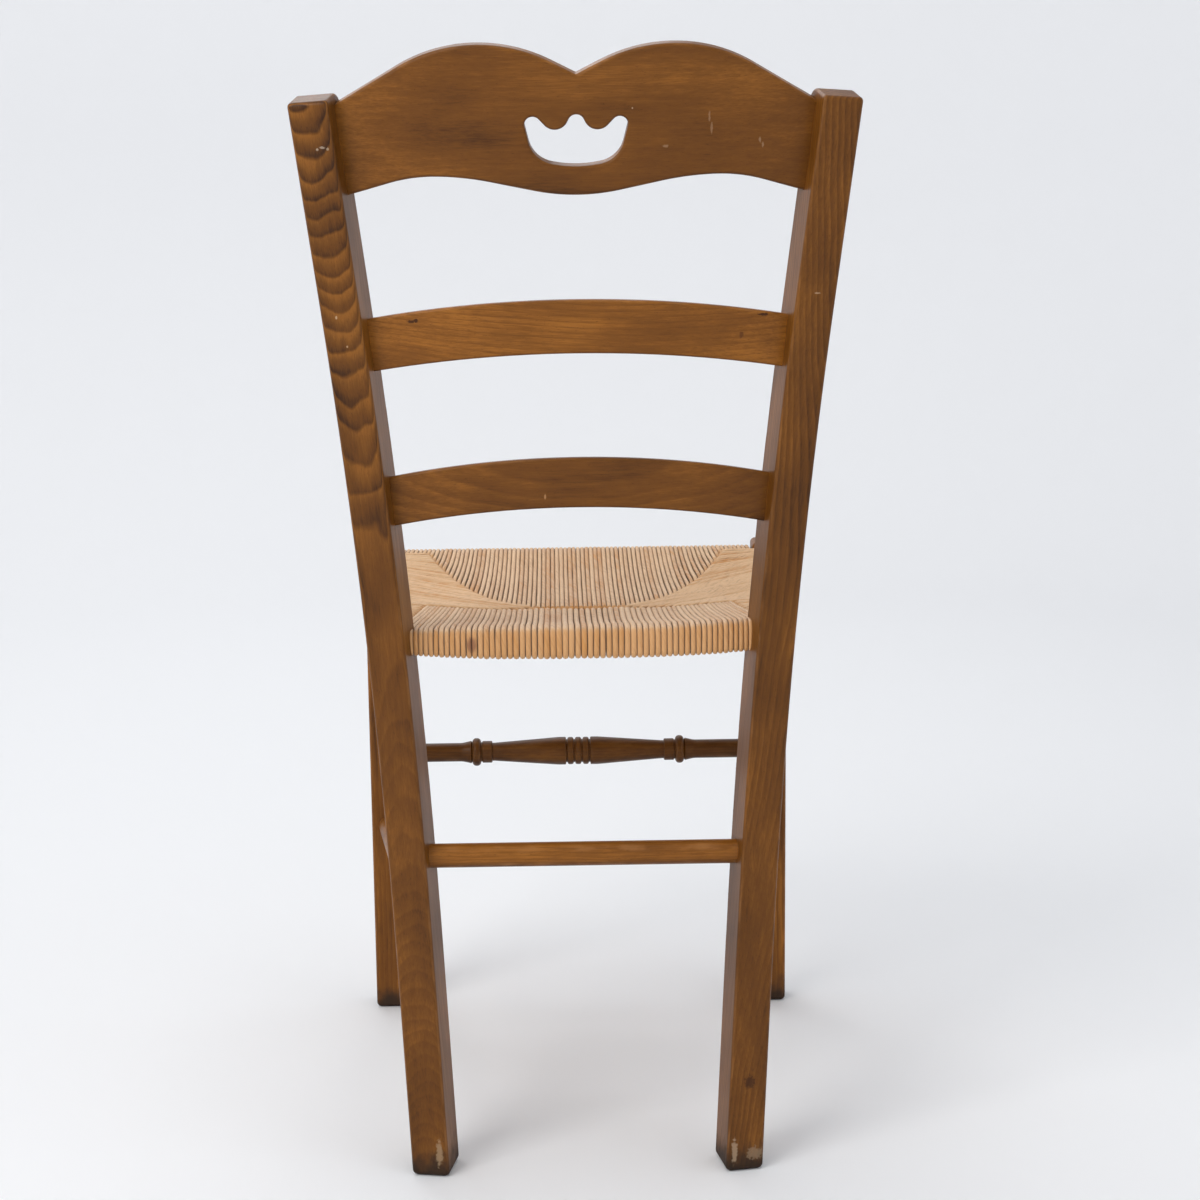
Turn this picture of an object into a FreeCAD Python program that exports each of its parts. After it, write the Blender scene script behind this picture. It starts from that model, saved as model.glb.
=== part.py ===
import FreeCAD, Part
import math
import os
import Sketcher
from FreeCAD import Placement, Rotation, Vector

# A ladderback dining chair of stained beech with a rush seat.
# Frame: +Z up, the sitter faces -Y, left is the sitter's left (+X).
# The origin lies on the floor under the middle of the chair.
# Lengths are millimetres, angles are degrees.

document = FreeCAD.newDocument("ladderback_chair")

# Driving dimensions, kept in a sheet that every piece is bound to
SIZES = {
    # where the legs stand
    "rear_foot_x": 127.0,
    "rear_foot_y": 168.0,
    "front_leg_x": 185.0,
    "front_leg_y": -229.5,
    # rear posts: sawn to a bend, turned outwards so that the bowed rails meet them square
    "post_width": 31.5,
    "post_depth": 39.5,
    "post_turn": 10.5,
    "post_splay": 3.9,
    "post_lower_rake": 4.2,
    "post_upper_rake": 12.9,
    "post_bend_start": 190.0,
    "post_bend_radius": 1840.0,
    "post_top_rise": 72.0,
    "post_arris": 3.0,
    "post_foot_round": 5.0,
    "post_top_rear_round": 3.5,
    "post_top_front_round": 15.0,
    "post_foot_allowance": 20.0,
    # front legs; their tops stand above the seat
    "leg_width": 33.0,
    "leg_top_rise": 6.5,
    "leg_arris": 3.0,
    "leg_foot_round": 5.0,
    "leg_top_round": 5.0,
    # seat frame
    "seat_height": 454.5,
    "rush_thickness": 3.5,
    "seat_rail_height": 15.0,
    "seat_rail_depth": 20.0,
    "seat_rail_round": 4.0,
    "rear_rail_offset": -14.0,
    "side_rail_post_offset": 6.0,
    "side_rail_leg_offset": 4.5,
    "seat_tenon_thickness": 9.0,
    "seat_tenon_height": 10.0,
    "seat_tenon_length": 14.0,
    "side_tenon_length": 13.0,
    # bowed rails of the back; a rise is measured from the seat to the rail's lower edge at the posts
    "slat_thickness": 13.0,
    "slat_setback": 16.0,
    "slat_round": 2.0,
    "slat_front_round": 10.0,
    "slat_bow_radius": 900.0,
    "slat_arch": 16.8,
    "upper_slat_height": 42.8,
    "lower_slat_height": 40.8,
    "upper_slat_rise": 215.8,
    "lower_slat_rise": 90.2,
    "slat_tenon_thickness": 8.0,
    "slat_tenon_length": 18.0,
    "slat_tenon_shoulder": 6.0,
    "crest_thickness": 13.0,
    "crest_setback": 18.0,
    "crest_round": 2.5,
    "crest_bow_radius": 960.0,
    "crest_rise": 355.6,
    "crest_belly_slope": 11.3,
    "crest_belly_radius": 163.0,
    "crest_arch_x": 105.0,
    "crest_arch_inner_radius": 212.0,
    "crest_arch_outer_radius": 122.0,
    "crest_arch_outer_slope": 18.0,
    "crest_notch_height": 91.5,
    "crest_notch_slope": 26.8,
    "crest_notch_radius": 2.0,
    "crest_hump_x": 77.3,
    "crest_hump_radius": 118.0,
    "crest_shoulder_slope": 31.6,
    "crest_tenon_thickness": 8.0,
    "crest_tenon_low": 6.0,
    "crest_tenon_height": 50.0,
    "crest_tenon_length": 20.0,
    # grip cut-out in the crest: corners of its outline before rounding, from the middle of
    # the crest and from its lowest point
    "grip_round": 2.0,
    "grip_bottom": 20.4,
    "grip_bottom_radius": 90.0,
    "grip_side_half": 32.3,
    "grip_side_height": 26.7,
    "grip_side_radius": 22.0,
    "grip_lobe_half": 44.1,
    "grip_lobe_height": 74.6,
    "grip_lobe_radius": 6.1,
    "grip_hump_half": 13.4,
    "grip_hump_height": 42.3,
    "grip_hump_radius": 10.6,
    "grip_middle_height": 69.1,
    "grip_middle_radius": 6.2,
    # stretchers
    "rear_stretcher_level": 265.7,
    "rear_stretcher_diameter": 20.0,
    "rear_stretcher_offset": -3.0,
    "side_stretcher_diameter": 19.0,
    "side_stretcher_upper_level": 312.0,
    "side_stretcher_lower_level": 186.0,
    "stretcher_tenon_diameter": 13.0,
    "stretcher_tenon_length": 15.0,
    "front_stretcher_level": 254.5,
    "turned_ring_radius": 13.3,
    "turned_ring_width": 6.0,
    "turned_ring_round": 2.0,
    "turned_groove_radius": 11.2,
    "turned_groove_width": 1.4,
    "turned_swell_radius": 13.5,
    "turned_swell_x": 19.0,
    "turned_swell_round": 40.0,
    "turned_swell_lip": 1.2,
    "turned_neck_radius": 8.8,
    "turned_neck_x": 81.5,
    "turned_neck_round": 30.0,
    "turned_collar_radius": 10.6,
    "turned_collar_start": 2.0,
    "turned_collar_round": 1.1,
    "turned_quirk": 1.2,
    "turned_bead_radius": 13.5,
    "turned_bead_x": 94.5,
    "turned_bead_width": 8.4,
    "turned_bead_round": 3.8,
    "turned_flare_radius": 10.9,
    "turned_flare_round": 0.5,
    "turned_flare_width": 9.5,
    "turned_flare_sweep": 20.0,
    "turned_shaft_radius": 9.0,
    # fits
    "mortise_clearance": 0.15,
    "mortise_end_gap": 1.0,
    "tenon_root": 4.0,
    "rail_overrun": 9.0,
    "rush_clearance": 0.3,
    # rush seat
    "rush_rim_round": 6.0,
    "seam_half": 40.0,
    "seam_back": 185.0,
    "stuffing_thickness": 8.0,
    "stuffing_margin": 3.0,
    # tacks that hold the ends of the cord on the side rails
    "tack_head_diameter": 6.0,
    "tack_head_thickness": 1.0,
    "tack_shank_diameter": 1.8,
    "tack_shank_length": 9.0,
    "tack_first": 60.0,
    "tack_pitch": 22.0,
    "tack_hole_clearance": 0.1,
}
TACKS_PER_RAIL = 3

sheet = document.addObject("Spreadsheet::Sheet", "sizes")
for row, (alias, value) in enumerate(SIZES.items(), start=1):
    sheet.set(f"A{row}", alias)
    sheet.set(f"B{row}", str(value))
    sheet.setAlias(f"B{row}", alias)
document.recompute()

SIDES = {"left": 1, "right": -1}


def size(alias):
    """Value of one driving dimension, read back from the sheet."""
    return float(sheet.get(alias))


def bind(target, path, expression):
    """Bind a property to an expression whose words are aliases of the sheet."""
    words = expression.replace("(", " ( ").replace(")", " ) ").split()
    text = " ".join(f"<<sizes>>.{word}" if word in SIZES else word for word in words)
    target.setExpression(path, text)


def tangent(degrees):
    return math.tan(math.radians(degrees))


def above_seat(piece):
    """Height above the floor of a back rail's lower edge at the posts."""
    return size("seat_height") + size(f"{piece}_rise")


# Helpers for sketches and features

def new_body(name):
    return document.addObject("PartDesign::Body", name)


def new_sketch(body, name, role):
    """An empty sketch on one of the body's own origin planes."""
    plane = next(item for item in body.Origin.OriginFeatures if item.Role == role)
    sketch = body.newObject("Sketcher::SketchObject", name)
    sketch.AttachmentSupport = (plane, [""])
    sketch.MapMode = "FlatFace"
    return sketch


def rounded_edges(corners):
    """Lines and arcs of a closed outline, from corners (x, y, rounding radius)."""
    points = [Vector(x, y, 0) for x, y, _ in corners]
    stretches = []
    for index, (_, _, radius) in enumerate(corners):
        here = points[index]
        back = (points[index - 1] - here).normalize()
        ahead = (points[(index + 1) % len(points)] - here).normalize()
        if radius == 0:
            stretches.append((here, None, here))
            continue
        half_angle = back.getAngle(ahead) / 2
        reach = radius / math.tan(half_angle)
        middle_way = (back + ahead).normalize()
        centre = here + middle_way * (radius / math.sin(half_angle))
        stretches.append((here + back * reach, centre - middle_way * radius, here + ahead * reach))
    edges = []
    for index, (start, middle, end) in enumerate(stretches):
        if middle is not None:
            edges.append(Part.Arc(start, middle, end))
        following = stretches[(index + 1) % len(stretches)][0]
        if (following - end).Length > 1e-6:
            edges.append(Part.LineSegment(end, following))
    return edges


def draw(sketch, edges):
    """Draw finished lines and arcs, joined end to end, into a sketch."""
    first = sketch.GeometryCount
    for edge in edges:
        sketch.addGeometry(edge, False)
    for index in range(first, sketch.GeometryCount):
        sketch.addConstraint(Sketcher.Constraint("Block", index))


def draw_rectangle(sketch, width, height):
    """A rectangle about the sketch's origin, its two sizes bound to the sheet."""
    half_width, half_height = size(width) / 2, size(height) / 2
    corners = [
        Vector(-half_width, -half_height, 0),
        Vector(half_width, -half_height, 0),
        Vector(half_width, half_height, 0),
        Vector(-half_width, half_height, 0),
    ]
    for index, corner in enumerate(corners):
        sketch.addGeometry(Part.LineSegment(corner, corners[(index + 1) % 4]), False)
    for index in range(4):
        sketch.addConstraint(Sketcher.Constraint("Coincident", index, 2, (index + 1) % 4, 1))
    for index, kind in enumerate(("Horizontal", "Vertical", "Horizontal", "Vertical")):
        sketch.addConstraint(Sketcher.Constraint(kind, index))
    sketch.addConstraint(Sketcher.Constraint("Symmetric", 0, 1, 2, 1, -1, 1))
    sketch.addConstraint(Sketcher.Constraint("DistanceX", 0, 1, 0, 2, 2 * half_width))
    sketch.renameConstraint(sketch.ConstraintCount - 1, "width")
    sketch.addConstraint(Sketcher.Constraint("DistanceY", 1, 1, 1, 2, 2 * half_height))
    sketch.renameConstraint(sketch.ConstraintCount - 1, "height")
    bind(sketch, "Constraints.width", width)
    bind(sketch, "Constraints.height", height)


def pad(body, name, sketch, length, symmetric=True):
    """Pad a sketch; a text length is bound to the sheet, a number is set."""
    feature = body.newObject("PartDesign::Pad", name)
    feature.Profile = sketch
    feature.SideType = "Symmetric" if symmetric else "One side"
    if isinstance(length, str):
        bind(feature, "Length", length)
    else:
        feature.Length = length
    document.recompute()
    return feature


def pocket_through(body, name, sketch):
    """Cut a sketch right through the body both ways, and see that it cut."""
    before = body.Shape.Volume
    feature = body.newObject("PartDesign::Pocket", name)
    feature.Profile = sketch
    feature.Type = "ThroughAll"
    feature.SideType = "Symmetric"
    document.recompute()
    if feature.Shape.Volume >= before:
        raise ValueError(f"{name} removed nothing")
    return feature


def fillet(body, name, base, radius, chosen):
    """Round the edges of base for which chosen(edge) holds."""
    names = [f"Edge{index}" for index, edge in enumerate(base.Shape.Edges, start=1) if chosen(edge)]
    feature = body.newObject("PartDesign::Fillet", name)
    feature.Base = (base, names)
    bind(feature, "Radius", radius)
    document.recompute()
    return feature


def combine(kind, name, base, tools):
    """A boolean of base with one or more tools; kind is Cut or Common."""
    tool = tools[0]
    if len(tools) > 1:
        tool = document.addObject("Part::Compound", f"{name}_tools")
        tool.Links = tools
    result = document.addObject(f"Part::{kind}", name)
    result.Base = base
    result.Tool = tool
    return result


def fuse(name, shapes):
    result = document.addObject("Part::MultiFuse", name)
    result.Shapes = shapes
    return result


# Rear post geometry, in the post's own plane: how far back its middle line lies at a height

def bend_end():
    """How far back and how high the bend of the middle line ends."""
    low, high = math.radians(size("post_lower_rake")), math.radians(size("post_upper_rake"))
    start, radius = size("post_bend_start"), size("post_bend_radius")
    back = -start * math.sin(low) + radius * (math.cos(low) - math.cos(high))
    return back, start * math.cos(low) + radius * (math.sin(high) + math.sin(low))


def post_middle(height):
    """Distance back of the middle line, and its lean in degrees, at a height on the post."""
    low, high = size("post_lower_rake"), size("post_upper_rake")
    start, radius = size("post_bend_start"), size("post_bend_radius")
    start_height = start * math.cos(math.radians(low))
    if height <= start_height:
        return -height * tangent(low), -low
    end_back, end_height = bend_end()
    if height >= end_height:
        return end_back + (height - end_height) * tangent(high), high
    lean = math.degrees(math.asin((height - start_height) / radius - math.sin(math.radians(low))))
    start_back = -start * math.sin(math.radians(low))
    back = start_back + radius * (math.cos(math.radians(low)) - math.cos(math.radians(lean)))
    return back, lean


def post_placement(side):
    """Placement of a post's own plane: splayed outwards, then turned outwards."""
    turn = Rotation(Vector(0, 0, 1), -side * size("post_turn"))
    splay = Rotation(Vector(0, 1, 0), side * size("post_splay"))
    foot = Vector(side * size("rear_foot_x"), size("rear_foot_y"), 0)
    return Placement(foot, turn.multiply(splay))


def post_frame(side, level, across, behind):
    """Frame on a post: level is the height above the floor, across the outward offset,
    behind the offset to the rear, square to the leaning post."""
    splay = math.radians(size("post_splay"))
    height = (level + across * math.sin(splay)) / math.cos(splay)
    back, lean = post_middle(height)
    offset = Vector(side * across, back + behind / math.cos(math.radians(lean)), height)
    local = Placement(offset, Rotation(Vector(1, 0, 0), -lean))
    return post_placement(side).multiply(local)


def bend_edges(offset, start, end):
    """Front or rear edge of the post's side profile, between two points on its ends."""
    low, high = math.radians(size("post_lower_rake")), math.radians(size("post_upper_rake"))
    radius = size("post_bend_radius")
    start_length = size("post_bend_start")
    foot_bend = Vector(-start_length * math.sin(low), start_length * math.cos(low), 0)
    centre = foot_bend + Vector(math.cos(low), math.sin(low), 0) * radius
    reach = radius - offset
    middle_angle = (high - low) / 2
    points = [
        centre - Vector(math.cos(low), math.sin(low), 0) * reach,
        centre - Vector(math.cos(middle_angle), -math.sin(middle_angle), 0) * reach,
        centre - Vector(math.cos(high), -math.sin(high), 0) * reach,
    ]
    return [
        Part.LineSegment(start, points[0]),
        Part.Arc(*points),
        Part.LineSegment(points[2], end),
    ]


def post_profile():
    """Side view of a rear post: front and rear edges, foot end and rounded top."""
    low, high = math.radians(size("post_lower_rake")), math.radians(size("post_upper_rake"))
    half = size("post_depth") / 2
    below = size("post_foot_allowance")
    top_height = (above_seat("crest") + size("post_top_rise")) / math.cos(math.radians(size("post_splay")))
    foot_way = Vector(-math.sin(low), math.cos(low), 0)
    foot_out = Vector(math.cos(low), math.sin(low), 0)
    top_way = Vector(math.sin(high), math.cos(high), 0)
    top_out = Vector(math.cos(high), -math.sin(high), 0)
    top = Vector(post_middle(top_height)[0], top_height, 0)
    front_round = size("post_top_front_round")
    rear_round = size("post_top_rear_round")
    foot_front = foot_way * -below - foot_out * half
    foot_rear = foot_way * -below + foot_out * half
    front_end = top - top_out * half - top_way * front_round
    rear_end = top + top_out * half - top_way * rear_round
    front_centre = top - top_out * (half - front_round) - top_way * front_round
    rear_centre = top + top_out * (half - rear_round) - top_way * rear_round
    slant = math.sqrt(0.5)
    front_middle = front_centre + (top_way - top_out) * (slant * front_round)
    rear_middle = rear_centre + (top_way + top_out) * (slant * rear_round)
    front_top = front_centre + top_way * front_round
    rear_top = rear_centre + top_way * rear_round
    return [
        *bend_edges(-half, foot_front, front_end),
        Part.Arc(front_end, front_middle, front_top),
        Part.LineSegment(front_top, rear_top),
        Part.Arc(rear_top, rear_middle, rear_end),
        *bend_edges(half, foot_rear, rear_end),
        Part.LineSegment(foot_rear, foot_front),
    ]


def make_post_blank(side_name, side):
    """A rear post before its mortises: profile, foot cut level, arrises rounded."""
    body = new_body(f"rear_post_{side_name}_blank")
    profile = new_sketch(body, f"post_profile_{side_name}", "YZ_Plane")
    draw(profile, post_profile())
    sawn = pad(body, f"post_sawn_{side_name}", profile, "post_width")
    level = new_sketch(body, f"foot_line_{side_name}", "XZ_Plane")
    reach = size("post_width") + size("post_depth")
    rise = reach * tangent(side * size("post_splay"))
    depth = -2 * (size("post_foot_allowance") + size("post_depth"))
    draw(level, rounded_edges([(-reach, depth, 0), (reach, depth, 0), (reach, rise, 0), (-reach, -rise, 0)]))
    levelled = pocket_through(body, f"foot_levelled_{side_name}", level)
    half = size("post_width") / 2
    rounded = fillet(
        body, f"post_arrises_{side_name}", levelled, "post_arris",
        lambda edge: edge.BoundBox.XLength < 0.01 and abs(edge.BoundBox.XMin) > half - 0.01
        and edge.BoundBox.ZMax > half,
    )
    fillet(
        body, f"post_foot_{side_name}", rounded, "post_foot_round",
        lambda edge: edge.BoundBox.ZMax < size("post_width") * tangent(size("post_splay")),
    )
    body.Placement = post_placement(side)
    return body


def make_leg_blank(side_name, side):
    """A front leg before its mortises: square, upright, rounded at foot and top."""
    body = new_body(f"front_leg_{side_name}_blank")
    section = new_sketch(body, f"leg_section_{side_name}", "XY_Plane")
    draw_rectangle(section, "leg_width", "leg_width")
    square = pad(body, f"leg_square_{side_name}", section, "seat_height + leg_top_rise", symmetric=False)
    rounded = fillet(
        body, f"leg_arrises_{side_name}", square, "leg_arris",
        lambda edge: edge.BoundBox.ZLength > size("leg_width"),
    )
    footed = fillet(
        body, f"leg_foot_{side_name}", rounded, "leg_foot_round",
        lambda edge: edge.BoundBox.ZMax < 0.01,
    )
    fillet(
        body, f"leg_top_{side_name}", footed, "leg_top_round",
        lambda edge: edge.BoundBox.ZMin > size("seat_height"),
    )
    body.Placement = Placement(Vector(side * size("front_leg_x"), size("front_leg_y"), 0), Rotation())
    return body


post_blanks = {name: make_post_blank(name, side) for name, side in SIDES.items()}
leg_blanks = {name: make_leg_blank(name, side) for name, side in SIDES.items()}

# Mortise tools, gathered for each upright while the rails are made
UPRIGHTS = ("rear_post_left", "rear_post_right", "front_leg_left", "front_leg_right")
mortises = {upright: [] for upright in UPRIGHTS}


def block(name, frame, outward, length, thickness, height, clearance):
    """A tenon, or its mortise where there is a clearance, from a shoulder along local X."""
    grow = f" + 2 * {clearance}" if clearance else ""
    end = " + mortise_end_gap" if clearance else ""
    shape = document.addObject("Part::Box", name)
    bind(shape, "Length", f"{length} + tenon_root{end}")
    bind(shape, "Width", f"{thickness}{grow}")
    bind(shape, "Height", f"{height}{grow}")
    document.recompute()
    root = size("tenon_root")
    start = -root if outward > 0 else root - shape.Length.Value
    corner = Vector(start, -shape.Width.Value / 2, -shape.Height.Value / 2)
    shape.Placement = frame.multiply(Placement(corner, Rotation()))
    return shape


def peg(name, frame, length, diameter, clearance):
    """A round tenon along local +X, or its socket where there is a clearance."""
    grow = f" + {clearance}" if clearance else ""
    end = " + mortise_end_gap" if clearance else ""
    shape = document.addObject("Part::Cylinder", name)
    bind(shape, "Radius", f"{diameter} / 2{grow}")
    bind(shape, "Height", f"{length} + tenon_root{end}")
    document.recompute()
    start = Placement(Vector(-size("tenon_root"), 0, 0), Rotation(Vector(0, 1, 0), 90))
    shape.Placement = frame.multiply(start)
    return shape


def flat_tenon(rail, upright, frame, outward, length, thickness, height):
    """A flat tenon for a rail; its mortise goes to the upright."""
    sizes = (length, thickness, height)
    mortise = block(f"{rail}_mortise_in_{upright}", frame, outward, *sizes, "mortise_clearance")
    mortises[upright].append(mortise)
    return block(f"{rail}_tenon_in_{upright}", frame, outward, *sizes, None)


def round_tenon(rail, upright, frame):
    """A round tenon for a stretcher; its socket goes to the upright."""
    sizes = ("stretcher_tenon_length", "stretcher_tenon_diameter")
    mortises[upright].append(peg(f"{rail}_socket_in_{upright}", frame, *sizes, "mortise_clearance"))
    return peg(f"{rail}_tenon_in_{upright}", frame, *sizes, None)


def shouldered(name, blank, uprights, tenons):
    """A rail: its blank trimmed to the uprights' faces, with its tenons."""
    trimmed = combine("Cut", f"{name}_trimmed", blank, uprights)
    return fuse(name, [trimmed, *tenons])


# Bowed rails of the back

def inner_face_frame(side, level, setback):
    """Frame on a post's inner face, setback in from the post's rear face."""
    return post_frame(side, level, -size("post_width") / 2, size("post_depth") / 2 - setback)


def bow_rise(kind, chord_half):
    """How far the rear face of a board stands behind the chord between its ends."""
    radius = size(f"{kind}_bow_radius")
    return radius - math.sqrt(radius ** 2 - chord_half ** 2)


def bowed_board(name, kind, level, outline, hole=None):
    """A board of a kind, slat or crest, cut to an outline and bowed to the rear between the posts.

    Its own frame stands on the chord between the posts, leaning as they do."""
    face = inner_face_frame(1, level, size(f"{kind}_setback"))
    lean = post_middle(level)[1] * math.cos(math.radians(size("post_turn")))
    chord_half, chord_y = face.Base.x, face.Base.y
    thickness, radius = size(f"{kind}_thickness"), size(f"{kind}_bow_radius")
    body = new_body(f"{name}_blank")
    face_sketch = new_sketch(body, f"{name}_outline", "XZ_Plane")
    draw(face_sketch, outline)
    if hole:
        draw(face_sketch, hole)
    rise = bow_rise(kind, chord_half)
    slab = 4 * (rise + thickness)
    pad(body, f"{name}_slab", face_sketch, slab)
    bow = new_sketch(body, f"{name}_bow", "XY_Plane")
    reach = chord_half + 4 * size("rail_overrun")
    centre_y = rise - radius
    for distance, far in ((radius, slab), (radius - thickness, -slab)):
        end_y = centre_y + math.sqrt(distance ** 2 - reach ** 2)
        left, right = Vector(-reach, end_y, 0), Vector(reach, end_y, 0)
        top = Vector(0, centre_y + distance, 0)
        far_left, far_right = Vector(-reach, far, 0), Vector(reach, far, 0)
        draw(bow, [
            Part.Arc(left, top, right),
            Part.LineSegment(right, far_right),
            Part.LineSegment(far_right, far_left),
            Part.LineSegment(far_left, left),
        ])
    pocket_through(body, f"{name}_bowed", bow)
    body.Placement = Placement(Vector(0, chord_y, face.Base.z), Rotation(Vector(1, 0, 0), -lean))
    return body


def along_board(edge):
    """Whether an edge runs along the board, and isn't an end or an end's corner."""
    box = edge.BoundBox
    sideways = box.XLength + box.YLength > 0.01
    straight_across = edge.Curve.TypeId == "Part::GeomLine" and box.XLength < 0.01
    return sideways and not straight_across


def post_side(name, side):
    """Everything outward of a post's inner face, to trim a rail's end."""
    shape = document.addObject("Part::Box", name)
    bind(shape, "Length", "2 * post_width")
    bind(shape, "Width", "8 * post_depth")
    bind(shape, "Height", "2 * seat_height + crest_rise")
    document.recompute()
    start = -size("post_width") / 2 if side > 0 else size("post_width") / 2 - shape.Length.Value
    corner = Vector(start, -shape.Width.Value / 2, 0)
    shape.Placement = post_placement(side).multiply(Placement(corner, Rotation()))
    return shape


post_sides = [post_side(f"post_side_{name}", side) for name, side in SIDES.items()]


def board_tenons(name, kind, level, tenon_middle, tenon_height):
    """The two tenons of a bowed board, in the middle of its thickness."""
    tenons = []
    setback = size(f"{kind}_setback") + size(f"{kind}_thickness") / 2
    for side_name, side in SIDES.items():
        frame = inner_face_frame(side, level + tenon_middle, setback)
        tenons.append(flat_tenon(
            name, f"rear_post_{side_name}", frame, side,
            f"{kind}_tenon_length", f"{kind}_tenon_thickness", tenon_height,
        ))
    return tenons


def mirrored(corners):
    """A closed outline from its right half, listed from the bottom middle up to the top middle."""
    return corners + [(-x, z, radius) for x, z, radius in reversed(corners) if x > 0]


def slat_outline(span, reach, height):
    """An arched slat of even height: the level of its lower edge at the posts is 0."""
    arch = size("slat_arch")
    radius = (span ** 2 + arch ** 2) / (2 * arch)
    drop = arch - radius + math.sqrt(radius ** 2 - reach ** 2)
    low_left, low_right = Vector(-reach, drop, 0), Vector(reach, drop, 0)
    rise = Vector(0, height, 0)
    crown = Vector(0, arch, 0)
    return [
        Part.Arc(low_left, crown, low_right),
        Part.LineSegment(low_right, low_right + rise),
        Part.Arc(low_left + rise, crown + rise, low_right + rise),
        Part.LineSegment(low_left + rise, low_left),
    ]


def make_slat(name):
    """A ladder slat between the posts, its upper edge rounded off towards the sitter."""
    level, height = above_seat(name), size(f"{name}_height")
    span = inner_face_frame(1, level, size("slat_setback")).Base.x
    blank = bowed_board(name, "slat", level, slat_outline(span, span + size("rail_overrun"), height))
    crown = size("slat_arch") + height
    front_half = bow_rise("slat", span) - size("slat_thickness") / 2

    def front_top(edge):
        box = edge.BoundBox
        return box.ZMax > crown - 0.01 and box.YMax < front_half and box.XLength > span

    softened = fillet(
        blank, f"{name}_arrises", blank.Tip, "slat_round",
        lambda edge: edge.BoundBox.XLength > span and not front_top(edge),
    )
    fillet(blank, f"{name}_front_edge", softened, "slat_front_round", front_top)
    tenons = board_tenons(
        name, "slat", level, height / 2, f"( {name}_height - 2 * slat_tenon_shoulder )",
    )
    return shouldered(name, blank, post_sides, tenons)


def crest_outline(reach):
    """The crest: two humps with a notch between them, and a belly between two arches."""
    slope = tangent(size("crest_belly_slope"))
    belly = size("crest_belly_radius") * (1 / math.cos(math.radians(size("crest_belly_slope"))) - 1)
    arch_x = size("crest_arch_x")
    inner = arch_x - size("crest_arch_inner_radius") * tangent(size("crest_belly_slope") / 2)
    outer = arch_x + size("crest_arch_outer_radius") * tangent(size("crest_arch_outer_slope") / 2)
    arch = inner * slope - belly
    end = arch - (reach - outer) * tangent(size("crest_arch_outer_slope"))
    notch, hump_x = size("crest_notch_height"), size("crest_hump_x")
    hump = notch + hump_x * tangent(size("crest_notch_slope"))
    shoulder = hump - (reach - hump_x) * tangent(size("crest_shoulder_slope"))
    return rounded_edges(mirrored([
        (0, -belly, size("crest_belly_radius")),
        (inner, arch, size("crest_arch_inner_radius")),
        (outer, arch, size("crest_arch_outer_radius")),
        (reach, end, 0),
        (reach, shoulder, 0),
        (hump_x, hump, size("crest_hump_radius")),
        (0, notch, size("crest_notch_radius")),
    ]))


def grip_outline():
    """The grip cut-out: a round-bottomed slot whose top edge has three lobes."""
    return rounded_edges(mirrored([
        (0, size("grip_bottom"), size("grip_bottom_radius")),
        (size("grip_side_half"), size("grip_side_height"), size("grip_side_radius")),
        (size("grip_lobe_half"), size("grip_lobe_height"), size("grip_lobe_radius")),
        (size("grip_hump_half"), size("grip_hump_height"), size("grip_hump_radius")),
        (0, size("grip_middle_height"), size("grip_middle_radius")),
    ]))


def make_crest():
    """The crest rail with its grip cut-out."""
    level = above_seat("crest")
    reach = inner_face_frame(1, level, size("crest_setback")).Base.x + size("rail_overrun")
    blank = bowed_board("crest_rail", "crest", level, crest_outline(reach), grip_outline())

    def along_grip(edge):
        middle = edge.BoundBox.Center
        low, high = size("grip_bottom") / 2, size("grip_lobe_height")
        return abs(middle.x) < size("grip_lobe_half") and low < middle.z < high

    softened = fillet(
        blank, "crest_arrises", blank.Tip, "crest_round",
        lambda edge: along_board(edge) and not along_grip(edge),
    )
    fillet(
        blank, "crest_grip_edges", softened, "grip_round",
        lambda edge: along_board(edge) and along_grip(edge),
    )
    middle = size("crest_tenon_low") + size("crest_tenon_height") / 2
    tenons = board_tenons("crest_rail", "crest", level, middle, "crest_tenon_height")
    return shouldered("crest_rail", blank, post_sides, tenons)


# Straight rails and stretchers between two uprights

def rail_between(start, end):
    """Frame at the middle between two points, local X from start to end."""
    way = end - start
    turn = Rotation(Vector(1, 0, 0), Vector(way.x, way.y, way.z))
    return Placement((start + end) * 0.5, turn)


def frame_at(point, turn, flip=False):
    """Frame at a rail's end, its local X pointing out of the rail."""
    rotation = turn.multiply(Rotation(Vector(0, 0, 1), 180)) if flip else turn
    return Placement(point, rotation)


def seat_rail_blank(name, frame, length):
    """A seat rail before its ends are trimmed, its long edges rounded for the cord."""
    body = new_body(f"{name}_blank")
    section = new_sketch(body, f"{name}_section", "YZ_Plane")
    draw_rectangle(section, "seat_rail_depth", "seat_rail_height")
    bar = pad(body, f"{name}_bar", section, length)
    fillet(
        body, f"{name}_rounded", bar, "seat_rail_round",
        lambda edge: edge.BoundBox.XLength > length - 0.01,
    )
    body.Placement = frame
    return body


def make_seat_rail(name, start, end, uprights, tenon_length, trims=None):
    """A seat rail from start to end, each a point on an upright's face; trims cut its ends square."""
    frame = rail_between(start, end)
    length = (end - start).Length + 2 * size("rail_overrun")
    blank = seat_rail_blank(name, frame, length)
    tenons = []
    for point, upright, flip in ((start, uprights[0], True), (end, uprights[1], False)):
        end_frame = frame_at(point, frame.Rotation, flip)
        tenons.append(flat_tenon(
            name, upright, end_frame, 1, tenon_length, "seat_tenon_thickness", "seat_tenon_height",
        ))
    return shouldered(name, blank, trims or [blank_of(upright) for upright in uprights], tenons)


def blank_of(upright):
    """The blank of a named post or leg."""
    blanks = post_blanks if upright.startswith("rear_post") else leg_blanks
    return blanks[upright.rsplit("_", 1)[1]]


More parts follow.
